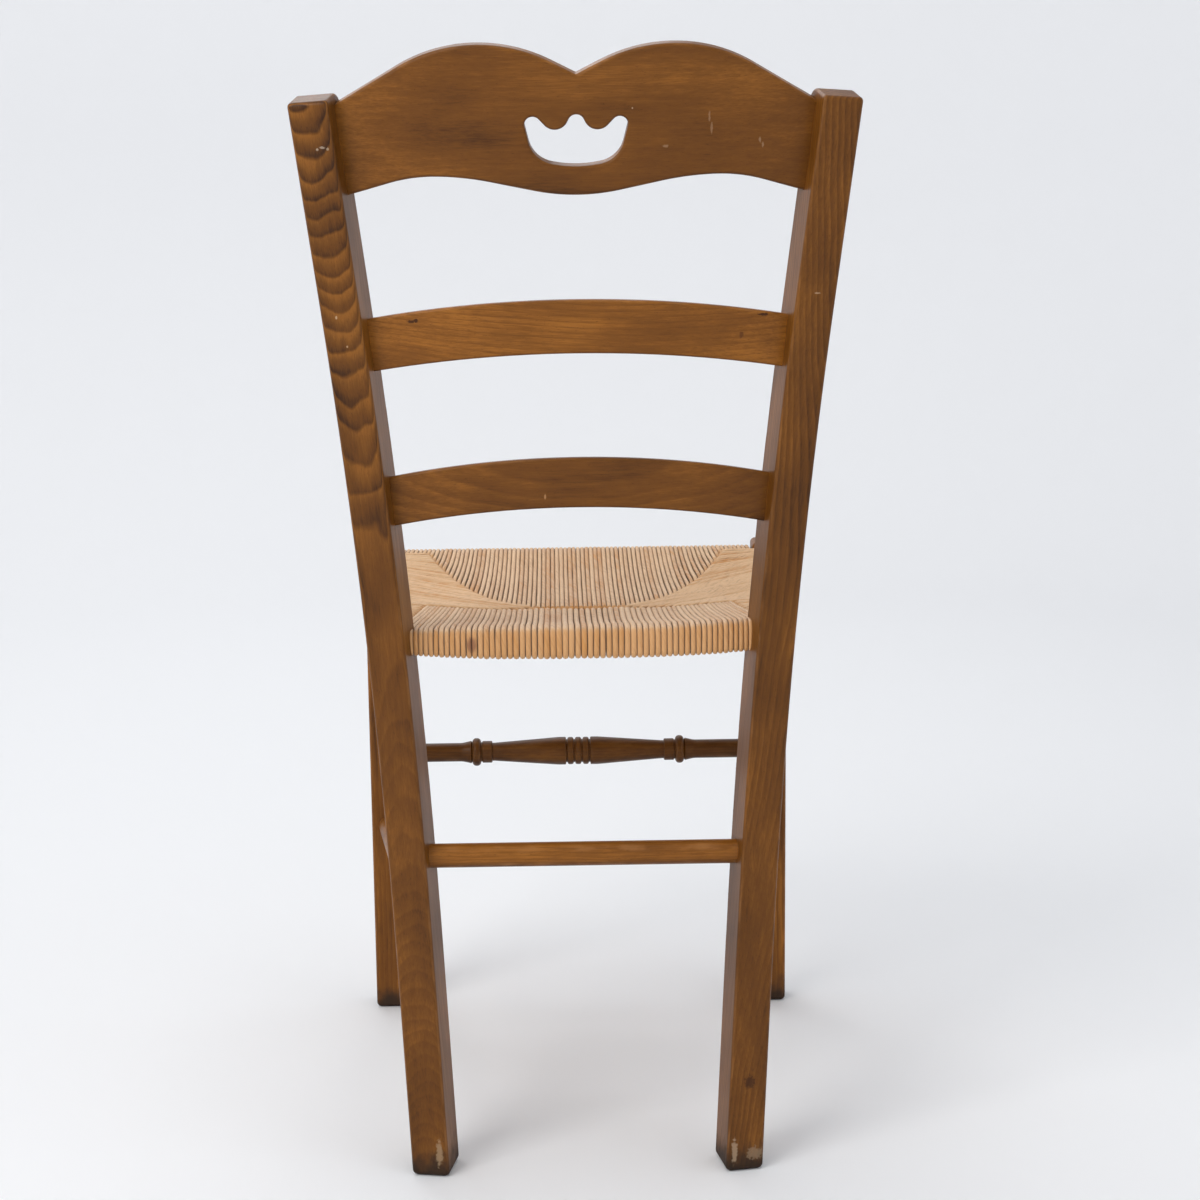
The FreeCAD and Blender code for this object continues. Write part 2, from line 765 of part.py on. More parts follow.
def make_round_stretcher(name, start, end, uprights, diameter):
    """A plain round stretcher from start to end, each a point on an upright's face."""
    frame = rail_between(start, end)
    blank = document.addObject("Part::Cylinder", f"{name}_blank")
    bind(blank, "Radius", f"{diameter} / 2")
    blank.Height = (end - start).Length + 2 * size("rail_overrun")
    lying = Placement(Vector(-blank.Height.Value / 2, 0, 0), Rotation(Vector(0, 1, 0), 90))
    blank.Placement = frame.multiply(lying)
    tenons = [
        round_tenon(name, uprights[0], frame_at(start, frame.Rotation, True)),
        round_tenon(name, uprights[1], frame_at(end, frame.Rotation)),
    ]
    return shouldered(name, blank, [blank_of(upright) for upright in uprights], tenons)


def turned_profile(half_length):
    """Right half of the turned stretcher as (x, radius, rounding), from the middle outwards."""
    ring, ring_round = size("turned_ring_radius"), size("turned_ring_round")
    groove, quirk = size("turned_groove_radius"), size("turned_quirk")
    swell, lip = size("turned_swell_radius"), size("turned_swell_lip")
    neck, neck_x = size("turned_neck_radius"), size("turned_neck_x")
    collar, collar_round = size("turned_collar_radius"), size("turned_collar_round")
    bead, bead_round = size("turned_bead_radius"), size("turned_bead_round")
    flare, shaft = size("turned_flare_radius"), size("turned_shaft_radius")
    first_end = size("turned_ring_width") / 2
    second = first_end + size("turned_groove_width")
    second_end = second + size("turned_ring_width")
    swell_start = second_end + size("turned_groove_width")
    collar_start = neck_x + size("turned_collar_start")
    bead_x = size("turned_bead_x")
    collar_end = bead_x - quirk
    bead_end = bead_x + size("turned_bead_width")
    flare_end = bead_end + size("turned_flare_width")
    return [
        (first_end, ring, ring_round), (first_end, groove, 0),
        (second, groove, 0), (second, ring, ring_round),
        (second_end, ring, ring_round), (second_end, groove, 0),
        (swell_start, groove, 0), (swell_start, swell, lip),
        (size("turned_swell_x"), swell, size("turned_swell_round")),
        (neck_x, neck, size("turned_neck_round")),
        (collar_start, neck, 0), (collar_start, collar, collar_round),
        (collar_end, collar, collar_round), (collar_end, collar - quirk, 0),
        (bead_x, collar - quirk, 0), (bead_x, bead, bead_round),
        (bead_end, bead, bead_round), (bead_end, flare - quirk, 0),
        (bead_end + quirk, flare, size("turned_flare_round")),
        (flare_end, shaft, size("turned_flare_sweep")), (half_length, shaft, 0),
    ]


def make_turned_stretcher():
    """The turned front stretcher between the front legs."""
    name = "front_stretcher"
    face = size("front_leg_x") - size("leg_width") / 2
    half_length = face + size("rail_overrun") / 2
    body = new_body(f"{name}_blank")
    profile = new_sketch(body, "front_stretcher_profile", "XY_Plane")
    right = turned_profile(half_length)
    left = [(-x, radius, rounding) for x, radius, rounding in reversed(right)]
    draw(profile, rounded_edges([(-half_length, 0, 0), *left, *right, (half_length, 0, 0)]))
    turned = body.newObject("PartDesign::Revolution", "front_stretcher_turned")
    turned.Profile = profile
    turned.ReferenceAxis = (profile, ["H_Axis"])
    turned.Angle = 360
    middle = Vector(0, size("front_leg_y"), size("front_stretcher_level"))
    body.Placement = Placement(middle, Rotation())
    document.recompute()
    tenons = []
    for side_name, side in SIDES.items():
        point = middle + Vector(side * face, 0, 0)
        tenons.append(round_tenon(name, f"front_leg_{side_name}", frame_at(point, Rotation(), side < 0)))
    return shouldered(name, body, list(leg_blanks.values()), tenons)


rail_level = size("seat_height") - size("rush_thickness") - size("seat_rail_height") / 2
leg_rear_face = size("front_leg_y") + size("leg_width") / 2
leg_inner_x = size("front_leg_x") - size("leg_width") / 2


def post_point(side, level, across, behind):
    return post_frame(side, level, across, behind).Base


def rear_rail_point(side):
    return post_point(side, rail_level, -size("post_width") / 2, size("rear_rail_offset"))


def side_rail_points(side):
    """The side rail's ends: on the post's front face and on the leg's rear face."""
    start = post_point(side, rail_level, size("side_rail_post_offset"), -size("post_depth") / 2)
    end = Vector(side * (size("front_leg_x") + size("side_rail_leg_offset")), leg_rear_face, rail_level)
    return start, end


# Tacks on the inner faces of the side rails

def tack_frame(side, index):
    """Frame of a tack under its head, local X pointing out into the seat."""
    start, end = side_rail_points(side)
    rail = rail_between(start, end)
    along = (end - start).Length / 2 - size("tack_first") - index * size("tack_pitch")
    inner_face = Vector(along, -side * size("seat_rail_depth") / 2, 0)
    return rail.multiply(Placement(inner_face, Rotation(Vector(0, 0, 1), -side * 90)))


def disc(name, frame, start, length, radius):
    """A cylinder along the frame's local X from start; sizes are expressions."""
    shape = document.addObject("Part::Cylinder", name)
    bind(shape, "Radius", radius)
    bind(shape, "Height", length)
    shape.Placement = frame.multiply(Placement(Vector(start, 0, 0), Rotation(Vector(0, 1, 0), 90)))
    return shape


def drilled_hole(side_name, side, index):
    """The hole in a side rail for one tack."""
    depth = size("tack_shank_length") + size("mortise_end_gap")
    return disc(
        f"tack_hole_{side_name}_{index + 1}", tack_frame(side, index), -depth,
        "tack_shank_length + mortise_end_gap", "tack_shank_diameter / 2 + tack_hole_clearance",
    )


def make_tack(side_name, side, index):
    """One tack: a flat head on the rail and its shank."""
    frame = tack_frame(side, index)
    label = f"{side_name}_{index + 1}"
    head = disc(f"tack_head_{label}", frame, 0, "tack_head_thickness", "tack_head_diameter / 2")
    shank = disc(
        f"tack_shank_{label}", frame, -size("tack_shank_length"),
        "tack_shank_length + tack_head_thickness / 2", "tack_shank_diameter / 2",
    )
    return fuse(f"tack_{label}", [head, shank])


pieces = {}
pieces["crest_rail"] = make_crest()
pieces["upper_slat"] = make_slat("upper_slat")
pieces["lower_slat"] = make_slat("lower_slat")
pieces["rear_seat_rail"] = make_seat_rail(
    "rear_seat_rail", rear_rail_point(-1), rear_rail_point(1),
    ("rear_post_right", "rear_post_left"), "seat_tenon_length", post_sides,
)
pieces["front_seat_rail"] = make_seat_rail(
    "front_seat_rail", Vector(-leg_inner_x, size("front_leg_y"), rail_level),
    Vector(leg_inner_x, size("front_leg_y"), rail_level),
    ("front_leg_right", "front_leg_left"), "seat_tenon_length",
)
pieces["rear_stretcher"] = make_round_stretcher(
    "rear_stretcher",
    post_point(-1, size("rear_stretcher_level"), -size("post_width") / 2, size("rear_stretcher_offset")),
    post_point(1, size("rear_stretcher_level"), -size("post_width") / 2, size("rear_stretcher_offset")),
    ("rear_post_right", "rear_post_left"), "rear_stretcher_diameter",
)
pieces["front_stretcher"] = make_turned_stretcher()
for side_name, side in SIDES.items():
    uprights = (f"rear_post_{side_name}", f"front_leg_{side_name}")
    undrilled = make_seat_rail(
        f"{side_name}_seat_rail_undrilled", *side_rail_points(side), uprights, "side_tenon_length",
    )
    tack_holes = [drilled_hole(side_name, side, index) for index in range(TACKS_PER_RAIL)]
    pieces[f"{side_name}_seat_rail"] = combine("Cut", f"{side_name}_seat_rail", undrilled, tack_holes)
    for place in ("upper", "lower"):
        level = size(f"side_stretcher_{place}_level")
        pieces[f"{side_name}_{place}_stretcher"] = make_round_stretcher(
            f"{side_name}_{place}_stretcher",
            post_point(side, level, 0, -size("post_depth") / 2),
            Vector(side * size("front_leg_x"), leg_rear_face, level),
            uprights, "side_stretcher_diameter",
        )

for upright, tools in mortises.items():
    pieces[upright] = combine("Cut", upright, blank_of(upright), tools)
tacks = [make_tack(name, side, index) for name, side in SIDES.items() for index in range(TACKS_PER_RAIL)]
pieces["cord_tacks"] = document.addObject("Part::Compound", "cord_tacks")
pieces["cord_tacks"].Links = tacks


# Rush seat: one wound sheet in four panels, with the rails in tunnels and stuffing between its layers

def seat_corners(inset):
    """Corners of the seat, inset from the rails' middle lines: rear left, front left, then right."""
    start, end = side_rail_points(1)
    way = end - start
    shift = inset * math.hypot(way.x, way.y) / abs(way.y)
    rear_y = rear_rail_point(1).y - inset
    front_y = size("front_leg_y") + inset
    corners = []
    for y in (rear_y, front_y):
        x = start.x + way.x * (y - start.y) / way.y - shift
        corners.append((x, y))
    (rear_x, _), (front_x, _) = corners
    return [(rear_x, rear_y), (front_x, front_y), (-front_x, front_y), (-rear_x, rear_y)]


def prism(name, corners, thickness, level):
    """A flat prism of an expression's thickness, centred on a level."""
    body = new_body(name)
    outline = new_sketch(body, f"{name}_outline", "XY_Plane")
    draw(outline, rounded_edges([(x, y, 0) for x, y in corners]))
    slab = pad(body, f"{name}_slab", outline, thickness)
    body.Placement = Placement(Vector(0, 0, level), Rotation())
    return body, slab


def tunnel(name, start, end):
    """Clearance for a seat rail through the rush."""
    frame = rail_between(start, end)
    shape = document.addObject("Part::Box", name)
    shape.Length = (end - start).Length + 4 * size("rail_overrun")
    bind(shape, "Width", "seat_rail_depth + 2 * rush_clearance")
    bind(shape, "Height", "seat_rail_height + 2 * rush_clearance")
    document.recompute()
    corner = Vector(-shape.Length.Value / 2, -shape.Width.Value / 2, -shape.Height.Value / 2)
    shape.Placement = frame.multiply(Placement(corner, Rotation()))
    return shape


def corner_notch(name, frame, side, rearward):
    """Room for an upright: frame lies on the corner of its two faces that the rush meets."""
    reach = 3 * size("post_depth")
    shape = document.addObject("Part::Box", name)
    shape.Length = shape.Width = shape.Height = reach
    start_x = -size("rush_clearance") if side > 0 else size("rush_clearance") - reach
    start_y = -size("rush_clearance") if rearward else size("rush_clearance") - reach
    shape.Placement = frame.multiply(Placement(Vector(start_x, start_y, -reach / 2), Rotation()))
    return shape


def make_rush():
    """The wound rush before it is parted, its stuffing, and where they are open."""
    outer = -(size("seat_rail_depth") / 2 + size("rush_thickness"))
    block_body, slab = prism(
        "rush_block", seat_corners(outer), "seat_rail_height + 2 * rush_thickness", rail_level,
    )
    fillet(
        block_body, "rush_rim", slab, "rush_rim_round",
        lambda edge: edge.BoundBox.ZLength < 0.01,
    )
    inner = size("seat_rail_depth") / 2 + size("stuffing_margin")
    stuffing, _ = prism("stuffing_block", seat_corners(inner), "stuffing_thickness", rail_level)
    pocket, _ = prism(
        "stuffing_pocket", seat_corners(inner - size("rush_clearance")),
        "stuffing_thickness + 2 * rush_clearance", rail_level,
    )
    openings = [
        pocket,
        tunnel("rear_rail_tunnel", rear_rail_point(-1), rear_rail_point(1)),
        tunnel(
            "front_rail_tunnel", Vector(-leg_inner_x, size("front_leg_y"), rail_level),
            Vector(leg_inner_x, size("front_leg_y"), rail_level),
        ),
    ]
    notches = []
    for side_name, side in SIDES.items():
        openings.append(tunnel(f"{side_name}_rail_tunnel", *side_rail_points(side)))
        post_corner = post_frame(side, rail_level, -size("post_width") / 2, -size("post_depth") / 2)
        notches.append(corner_notch(f"post_notch_{side_name}", post_corner, side, True))
        leg_corner = Placement(Vector(side * leg_inner_x, leg_rear_face, rail_level), Rotation())
        notches.append(corner_notch(f"leg_notch_{side_name}", leg_corner, side, False))
        for index in range(TACKS_PER_RAIL):
            openings.append(disc(
                f"tack_room_{side_name}_{index + 1}", tack_frame(side, index), 0,
                "tack_head_thickness + rush_clearance", "tack_head_diameter / 2 + rush_clearance",
            ))
    wound = combine("Cut", "rush_wound", block_body, openings + notches)
    return wound, combine("Cut", "seat_stuffing", stuffing, notches)


def make_panels(wound):
    """Part the rush along its mitres and its middle seam."""
    half = size("seam_half")
    seam_y = rear_rail_point(1).y - size("seam_back")
    left_seam, right_seam = (half, seam_y), (-half, seam_y)
    rear_left, front_left, front_right, rear_right = seat_corners(0)

    def beyond(corner, seam):
        return tuple(s + 1.5 * (c - s) for c, s in zip(corner, seam))

    sectors = {
        "front": [beyond(front_left, left_seam), beyond(front_right, right_seam), right_seam, left_seam],
        "rear": [beyond(rear_right, right_seam), beyond(rear_left, left_seam), left_seam, right_seam],
        "left": [beyond(rear_left, left_seam), beyond(front_left, left_seam), left_seam],
        "right": [beyond(front_right, right_seam), beyond(rear_right, right_seam), right_seam],
    }
    panels = {}
    for place, corners in sectors.items():
        sector, _ = prism(f"{place}_sector", corners, "3 * seat_rail_height", rail_level)
        panels[f"rush_panel_{place}"] = combine("Common", f"rush_panel_{place}", wound, [sector])
    return panels


rush_wound, pieces["seat_stuffing"] = make_rush()
pieces.update(make_panels(rush_wound))
document.recompute()

# Every feature has to stand, and every piece has to be sound, before anything is written
for item in document.Objects:
    if {"Invalid", "Error"} & set(item.State):
        raise ValueError(f"{item.Name} failed: {item.State}")
os.makedirs("parts", exist_ok=True)
for node, piece in pieces.items():
    piece.Label = node
    if piece.Shape.isNull() or not piece.Shape.isValid():
        raise ValueError(f"{node} has no sound shape")
for node, piece in pieces.items():
    piece.Shape.exportStep(f"parts/{node}.step")
    box = piece.Shape.BoundBox
    print(f"{node}: {len(piece.Shape.Solids)} solid(s), {piece.Shape.Volume / 1000:.1f} cm3, "
          f"z {box.ZMin:.1f} to {box.ZMax:.1f}")
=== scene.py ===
import sys
import logging
import math
from dataclasses import dataclass
from enum import Enum
from typing import Callable, Iterable, Union

import bpy
import numpy as np
from mathutils import Matrix, Vector


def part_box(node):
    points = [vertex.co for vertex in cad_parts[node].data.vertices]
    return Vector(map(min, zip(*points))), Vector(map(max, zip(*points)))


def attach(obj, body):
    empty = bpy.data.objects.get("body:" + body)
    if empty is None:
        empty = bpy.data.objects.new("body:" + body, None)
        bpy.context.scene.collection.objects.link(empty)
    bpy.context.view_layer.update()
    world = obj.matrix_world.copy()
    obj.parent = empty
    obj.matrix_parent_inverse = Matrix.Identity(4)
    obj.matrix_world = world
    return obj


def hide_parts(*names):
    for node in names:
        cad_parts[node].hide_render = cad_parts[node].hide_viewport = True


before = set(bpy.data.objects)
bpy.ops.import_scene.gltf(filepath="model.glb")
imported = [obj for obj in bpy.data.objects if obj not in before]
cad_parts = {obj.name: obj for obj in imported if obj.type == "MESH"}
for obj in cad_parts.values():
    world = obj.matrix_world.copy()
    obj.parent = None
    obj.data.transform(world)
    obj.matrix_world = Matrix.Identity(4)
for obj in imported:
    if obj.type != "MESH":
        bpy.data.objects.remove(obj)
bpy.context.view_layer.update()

# Looks of a ladderback chair of stained beech with a rush seat.
# Lengths are metres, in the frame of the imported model: +Z up, the sitter faces -Y, left is +X.

LOG = logging.getLogger("chair")
BODY = "root"
MM = 0.001

Number = Union[int, float]


class Signal:
    """One output of a node, on which arithmetic adds Math nodes."""

    def __init__(self, graph: "Graph", socket: bpy.types.NodeSocket) -> None:
        """Keep the tree and the socket."""
        self.graph = graph
        self.socket = socket

    def __add__(self, other: "Feed") -> "Signal":
        """Sum."""
        return self.graph.math("ADD", self, other)

    def __radd__(self, other: "Feed") -> "Signal":
        """Sum, number first."""
        return self.graph.math("ADD", other, self)

    def __sub__(self, other: "Feed") -> "Signal":
        """Difference."""
        return self.graph.math("SUBTRACT", self, other)

    def __rsub__(self, other: "Feed") -> "Signal":
        """Difference, number first."""
        return self.graph.math("SUBTRACT", other, self)

    def __mul__(self, other: "Feed") -> "Signal":
        """Product."""
        return self.graph.math("MULTIPLY", self, other)

    def __truediv__(self, other: "Feed") -> "Signal":
        """Quotient."""
        return self.graph.math("DIVIDE", self, other)


Feed = Union[Signal, Number, tuple]


class Graph:
    """A shader or geometry tree that is being built."""

    def __init__(self, tree: bpy.types.NodeTree) -> None:
        """Start on a tree, emptied of its nodes."""
        self.tree = tree
        tree.nodes.clear()

    @staticmethod
    def _find(sockets: Iterable[bpy.types.NodeSocket], key: Union[int, str]) -> bpy.types.NodeSocket:
        """Socket by place, identifier or name."""
        listed = list(sockets)
        if isinstance(key, int):
            return listed[key]
        exact = [item for item in listed if item.identifier == key]
        return (exact or [item for item in listed if item.name == key])[0]

    def node(self, kind: str, inputs: dict | None = None, **settings: object) -> bpy.types.Node:
        """Add a node.

        Args:
            kind: The node's type name.
            inputs: Values or signals by socket place, identifier or name.
            settings: Properties of the node itself.

        Returns:
            The new node.
        """
        made = self.tree.nodes.new(kind)
        for name, value in settings.items():
            setattr(made, name, value)
        for key, value in (inputs or {}).items():
            socket = self._find(made.inputs, key)
            if isinstance(value, Signal):
                self.tree.links.new(value.socket, socket)
            else:
                socket.default_value = value
        return made

    def add(self, kind: str, inputs: dict | None = None, output: Union[int, str] = 0,
            **settings: object) -> Signal:
        """Add a node and return one of its outputs.

        Args:
            kind: The node's type name.
            inputs: Values or signals by socket place, identifier or name.
            output: The output's place, identifier or name.
            settings: Properties of the node itself.

        Returns:
            The output as a signal.
        """
        made = self.node(kind, inputs, **settings)
        return Signal(self, self._find(made.outputs, output))

    def math(self, operation: str, first: Feed, second: Feed = 0.0) -> Signal:
        """A Math node on two values."""
        return self.add("ShaderNodeMath", {0: first, 1: second}, operation=operation)

    def absolute(self, value: Feed) -> Signal:
        """Size of a value without its sign."""
        return self.math("ABSOLUTE", value)

    def power(self, value: Feed, exponent: Feed) -> Signal:
        """A value to a power."""
        return self.math("POWER", value, exponent)

    def ramp(self, value: Feed, low: float, high: float, start: float = 0.0, end: float = 1.0) -> Signal:
        """Smooth step of a value.

        Args:
            value: What is read.
            low: Where the step begins.
            high: Where it ends.
            start: Result below the step.
            end: Result above it.

        Returns:
            The stepped value.
        """
        settings = {"Value": value, "From Min": low, "From Max": high, "To Min": start, "To Max": end}
        return self.add("ShaderNodeMapRange", settings, interpolation_type="SMOOTHSTEP")

    def vector(self, operation: str, first: Feed, second: Feed | None = None,
               output: str = "Vector") -> Signal:
        """A Vector Math node.

        Args:
            operation: The node's operation.
            first: First vector.
            second: Second vector, where the operation takes one.
            output: Vector or Value.

        Returns:
            The result.
        """
        inputs = {0: first} if second is None else {0: first, 1: second}
        return self.add("ShaderNodeVectorMath", inputs, output, operation=operation)

    def xyz(self, vector: Signal) -> tuple[Signal, Signal, Signal]:
        """The three parts of a vector."""
        parts = self.node("ShaderNodeSeparateXYZ", {0: vector})
        return tuple(Signal(self, socket) for socket in parts.outputs)

    def join(self, x: Feed, y: Feed, z: Feed) -> Signal:
        """A vector from three parts."""
        return self.add("ShaderNodeCombineXYZ", {0: x, 1: y, 2: z})

    def noise(self, vector: Signal, stretch: tuple, detail: float = 2.0, seed: float = 0.0) -> Signal:
        """Noise from 0 to 1.

        Args:
            vector: Coordinates.
            stretch: Cycles per metre along each of them.
            detail: Octaves.
            seed: Shifts the pattern.

        Returns:
            The noise.
        """
        scaled = self.vector("MULTIPLY", vector, stretch)
        moved = self.vector("ADD", scaled, (seed, 1.7 * seed, 0.3 * seed))
        return self.add("ShaderNodeTexNoise", {"Vector": moved, "Scale": 1.0, "Detail": detail}, "Fac")

    def blend(self, amount: Feed, first: Feed, second: Feed, kind: str = "MIX") -> Signal:
        """A blend of two colours.

        Args:
            amount: From 0, the first, to 1, the second.
            first: A colour.
            second: A colour.
            kind: The blend type.

        Returns:
            The blended colour.
        """
        inputs = {"Factor_Float": amount, "A_Color": first, "B_Color": second}
        return self.add("ShaderNodeMix", inputs, "Result_Color", data_type="RGBA", blend_type=kind)

    def surface(self, inputs: dict) -> None:
        """End a material's tree in a Principled shader with these inputs."""
        shader = self.add("ShaderNodeBsdfPrincipled", inputs)
        self.node("ShaderNodeOutputMaterial", {"Surface": shader})


def start_material(name: str) -> tuple[bpy.types.Material, Graph]:
    """A new material and its emptied tree.

    Args:
        name: The material's name.

    Returns:
        The material, and the graph that builds on its tree.
    """
    material = bpy.data.materials.new(name)
    material.use_nodes = True
    return material, Graph(material.node_tree)


def add_object(name: str, data: bpy.types.ID) -> bpy.types.Object:
    """Put an object in the scene.

    Args:
        name: Its name.
        data: Its mesh, light or camera.

    Returns:
        The object.
    """
    made = bpy.data.objects.new(name, data)
    bpy.context.scene.collection.objects.link(made)
    return made


def linear(red: int, green: int, blue: int) -> tuple[float, float, float, float]:
    """Scene colour of a display colour.

    Args:
        red: 0 to 255.
        green: 0 to 255.
        blue: 0 to 255.

    Returns:
        The colour for a socket.
    """
    parts = [value / 255 for value in (red, green, blue)]
    curve = [part / 12.92 if part <= 0.04045 else ((part + 0.055) / 1.055) ** 2.4 for part in parts]
    return (*curve, 1.0)


class Figure(Enum):
    """How a piece was cut from the log, which sets the figure on its faces."""

    SCALLOPED = "scalloped"
    OVAL = "oval"
    FLAT = "flat"
    LINED = "lined"
    RIFT = "rift"
    TURNED = "turned"


@dataclass(frozen=True)
class Mark:
    """A scuff, chip or stain on a piece."""

    centre: tuple[float, float, float]
    reach: tuple[float, float, float]
    colour: tuple[int, int, int]
    strength: float = 0.8

    def distance(self, graph: Graph, place: Signal) -> Signal:
        """How far a place is from the mark's middle, 1 at its edge."""
        away = graph.vector("SUBTRACT", place, self.centre)
        return graph.vector("LENGTH", graph.vector("DIVIDE", away, self.reach), output="Value")


@dataclass(frozen=True)
class BeechFinish:
    """Stained and lacquered beech, cut one way for one piece."""

    name: str
    figure: Figure
    lengthwise: tuple[float, float, float] = (0.0, 0.0, 1.0)
    facing: tuple[float, float, float] = (0.0, 1.0, 0.0)
    pith: tuple[float, float] = (0.0, 0.114)
    origin: tuple[float, float, float] = (0.0, 0.0, 0.0)
    ring_width: float = 0.0027
    tone: float = 1.0
    seed: float = 1.0
    dirty_foot: float = 0.0
    lower_contrast: float = 1.0
    marks: tuple[Mark, ...] = ()

    DARK = linear(60, 33, 10)
    MIDDLE = linear(115, 69, 20)
    LIGHT = linear(154, 97, 34)
    WORN = linear(176, 122, 70)
    DIRT = linear(44, 34, 27)
    # Strength and sharpness of the rings, and the least that shows where they fade.
    RING_LOOKS = {
        Figure.SCALLOPED: (0.85, 1.1, 0.65), Figure.OVAL: (0.22, 1.0, 0.5),
        Figure.FLAT: (0.08, 1.5, 0.35), Figure.LINED: (0.50, 5.0, 0.35),
        Figure.RIFT: (0.38, 1.2, 0.35), Figure.TURNED: (0.22, 2.0, 0.35),
    }
    # Cycles per metre along and across the plank, octaves, and shift of the seed.
    PATTERNS = {
        "wander": (5.0, 14.0, 2.0, 0.0), "ripple": (28.0, 60.0, 2.0, 3.1),
        "patchy": (7.0, 18.0, 2.0, 9.0), "streak": (16.0, 260.0, 3.0, 5.0),
        "fine": (70.0, 1300.0, 2.0, 7.0), "fleck": (320.0, 1700.0, 1.0, 2.0),
        "blotch": (9.0, 22.0, 3.0, 11.0), "chafe": (45.0, 120.0, 3.0, 4.0),
        "grime": (60.0, 80.0, 4.0, 6.0),
    }

    def _axes(self) -> Matrix:
        """Turn from the chair's frame to the plank's: X lengthwise, Y across, Z out of the face.

        Returns:
            The turn.
        """
        along = Vector(self.lengthwise).normalized()
        across = Vector(self.facing).cross(along).normalized()
        outward = along.cross(across)
        return Matrix((along, across, outward))

    def _plank(self, graph: Graph) -> tuple[Signal, Signal]:
        """Place and normal in the plank's frame.

        Args:
            graph: The tree that is being built.

        Returns:
            The place and the normal.
        """
        turn = self._axes()
        angles = tuple(turn.to_euler("XYZ"))
        shift = tuple(-(turn @ Vector(self.origin)))
        place = graph.add("ShaderNodeTexCoord", output="Object")
        local = graph.add("ShaderNodeMapping", {"Vector": place, "Location": shift, "Rotation": angles})
        normal = graph.add("ShaderNodeNewGeometry", output="Normal")
        turned = graph.add("ShaderNodeMapping", {"Vector": normal, "Rotation": angles})
        return local, turned

    def _pattern(self, graph: Graph, local: Signal, name: str) -> Signal:
        """One of the patterns of the wood, a noise from 0 to 1."""
        lengthwise, crosswise, detail, shift = self.PATTERNS[name]
        return graph.noise(local, (lengthwise, crosswise, crosswise), detail, self.seed + shift)

    def _rings(self, graph: Graph, local: Signal) -> Signal:
        """Year rings round the pith: 0 in early wood, rising to 1 in late wood.

        Args:
            graph: The tree that is being built.
            local: Place in the plank's frame.

        Returns:
            The place within a ring.
        """
        _, across, out = graph.xyz(local)
        wander = self._pattern(graph, local, "wander") - 0.5
        ripple = self._pattern(graph, local, "ripple") - 0.5
        pith_across, pith_out = self.pith
        offset = graph.join(0.0, across - pith_across, out - pith_out)
        radius = graph.vector("LENGTH", offset, output="Value")
        turns = (radius + wander * 0.010 + ripple * 0.0014) / self.ring_width
        return graph.math("FRACT", turns)

    def _worn(self, graph: Graph, local: Signal, normal: Signal, colour: Signal) -> Signal:
        """Wear the stain thin along the rounded edges.

        Args:
            graph: The tree that is being built.
            local: Place in the plank's frame.
            normal: Normal in the plank's frame.
            colour: The stained wood.

        Returns:
            The worn colour.
        """
        across_face = graph.absolute(graph.xyz(normal)[1])
        in_plane = graph.math("SQRT", 1.0 - across_face * across_face)
        arris = graph.ramp(graph.math("MAXIMUM", across_face, in_plane), 0.80, 0.975, 1.0, 0.0)
        chafe = self._pattern(graph, local, "chafe")
        return graph.blend(arris * graph.ramp(chafe, 0.40, 0.75, 0.02, 0.40), colour, self.WORN)

    def _marked(self, graph: Graph, place: Signal, colour: Signal) -> tuple[Signal, Signal]:
        """Lay the marks on a colour.

        Args:
            graph: The tree that is being built.
            place: Place in the chair's frame.
            colour: The wood without marks.

        Returns:
            The marked colour, and how much mark there is.
        """
        ragged = graph.noise(place, (420.0, 420.0, 420.0), 3.0, self.seed)
        total = graph.math("ADD", 0.0, 0.0)
        for mark in self.marks:
            reach = mark.distance(graph, place) + (ragged - 0.5) * 1.6
            there = graph.ramp(reach, 0.6, 1.1, mark.strength, 0.0)
            colour = graph.blend(there, colour, linear(*mark.colour))
            total = graph.math("MAXIMUM", total, there)
        return colour, total

    def make(self) -> bpy.types.Material:
        """Build the material.

        Returns:
            The material of the piece.
        """
        material, graph = start_material(f"stained_beech_{self.name}")
        local, normal = self._plank(graph)
        place = graph.add("ShaderNodeTexCoord", output="Object")
        height = graph.xyz(place)[2]
        strength, sharpness, least = self.RING_LOOKS[self.figure]
        ring = self._rings(graph, local)
        late = graph.power(ring, sharpness) * graph.ramp(ring, 0.80, 1.0, 1.0, 0.0)
        names = ("patchy", "streak", "fine", "fleck", "blotch", "grime")
        patchy, streak, fine, fleck, blotch, grime = (self._pattern(graph, local, name) for name in names)

        # Rings, streaks and blotches take up the stain.
        shown = graph.ramp(patchy, 0.30, 0.62, least, 1.0) * strength
        shown = shown * graph.ramp(height, 0.40, 0.56, self.lower_contrast, 1.0)
        depth = 0.42 + (late - 0.3) * shown
        depth = depth + (streak - 0.5) * 0.38 + (blotch - 0.5) * 1.05 + (fine - 0.5) * 0.45
        stained = graph.blend(graph.ramp(depth, 0.0, 0.5), self.LIGHT, self.MIDDLE)
        stained = graph.blend(graph.ramp(depth, 0.42, 1.0), stained, self.DARK)
        rays = graph.ramp(fleck, 0.64, 0.74, 0.0, 0.40)
        stained = graph.blend(rays, stained, self.DARK)
        # Painted shade: faces that turn downwards are blended towards the dark stain colour.
        underside_shade_normal_z = graph.xyz(graph.add("ShaderNodeNewGeometry", output="Normal"))[2]
        stained = graph.blend(graph.ramp(underside_shade_normal_z, -0.75, -0.2, 0.55, 0.0), stained, self.DARK)

        # Years of use.
        stained = self._worn(graph, local, normal, stained)
        soiled = graph.ramp(height + (grime - 0.5) * 0.035, 0.004, 0.030, 0.9, 0.0) * self.dirty_foot
        stained = graph.blend(soiled, stained, self.DIRT)
        stained, marked = self._marked(graph, place, stained)

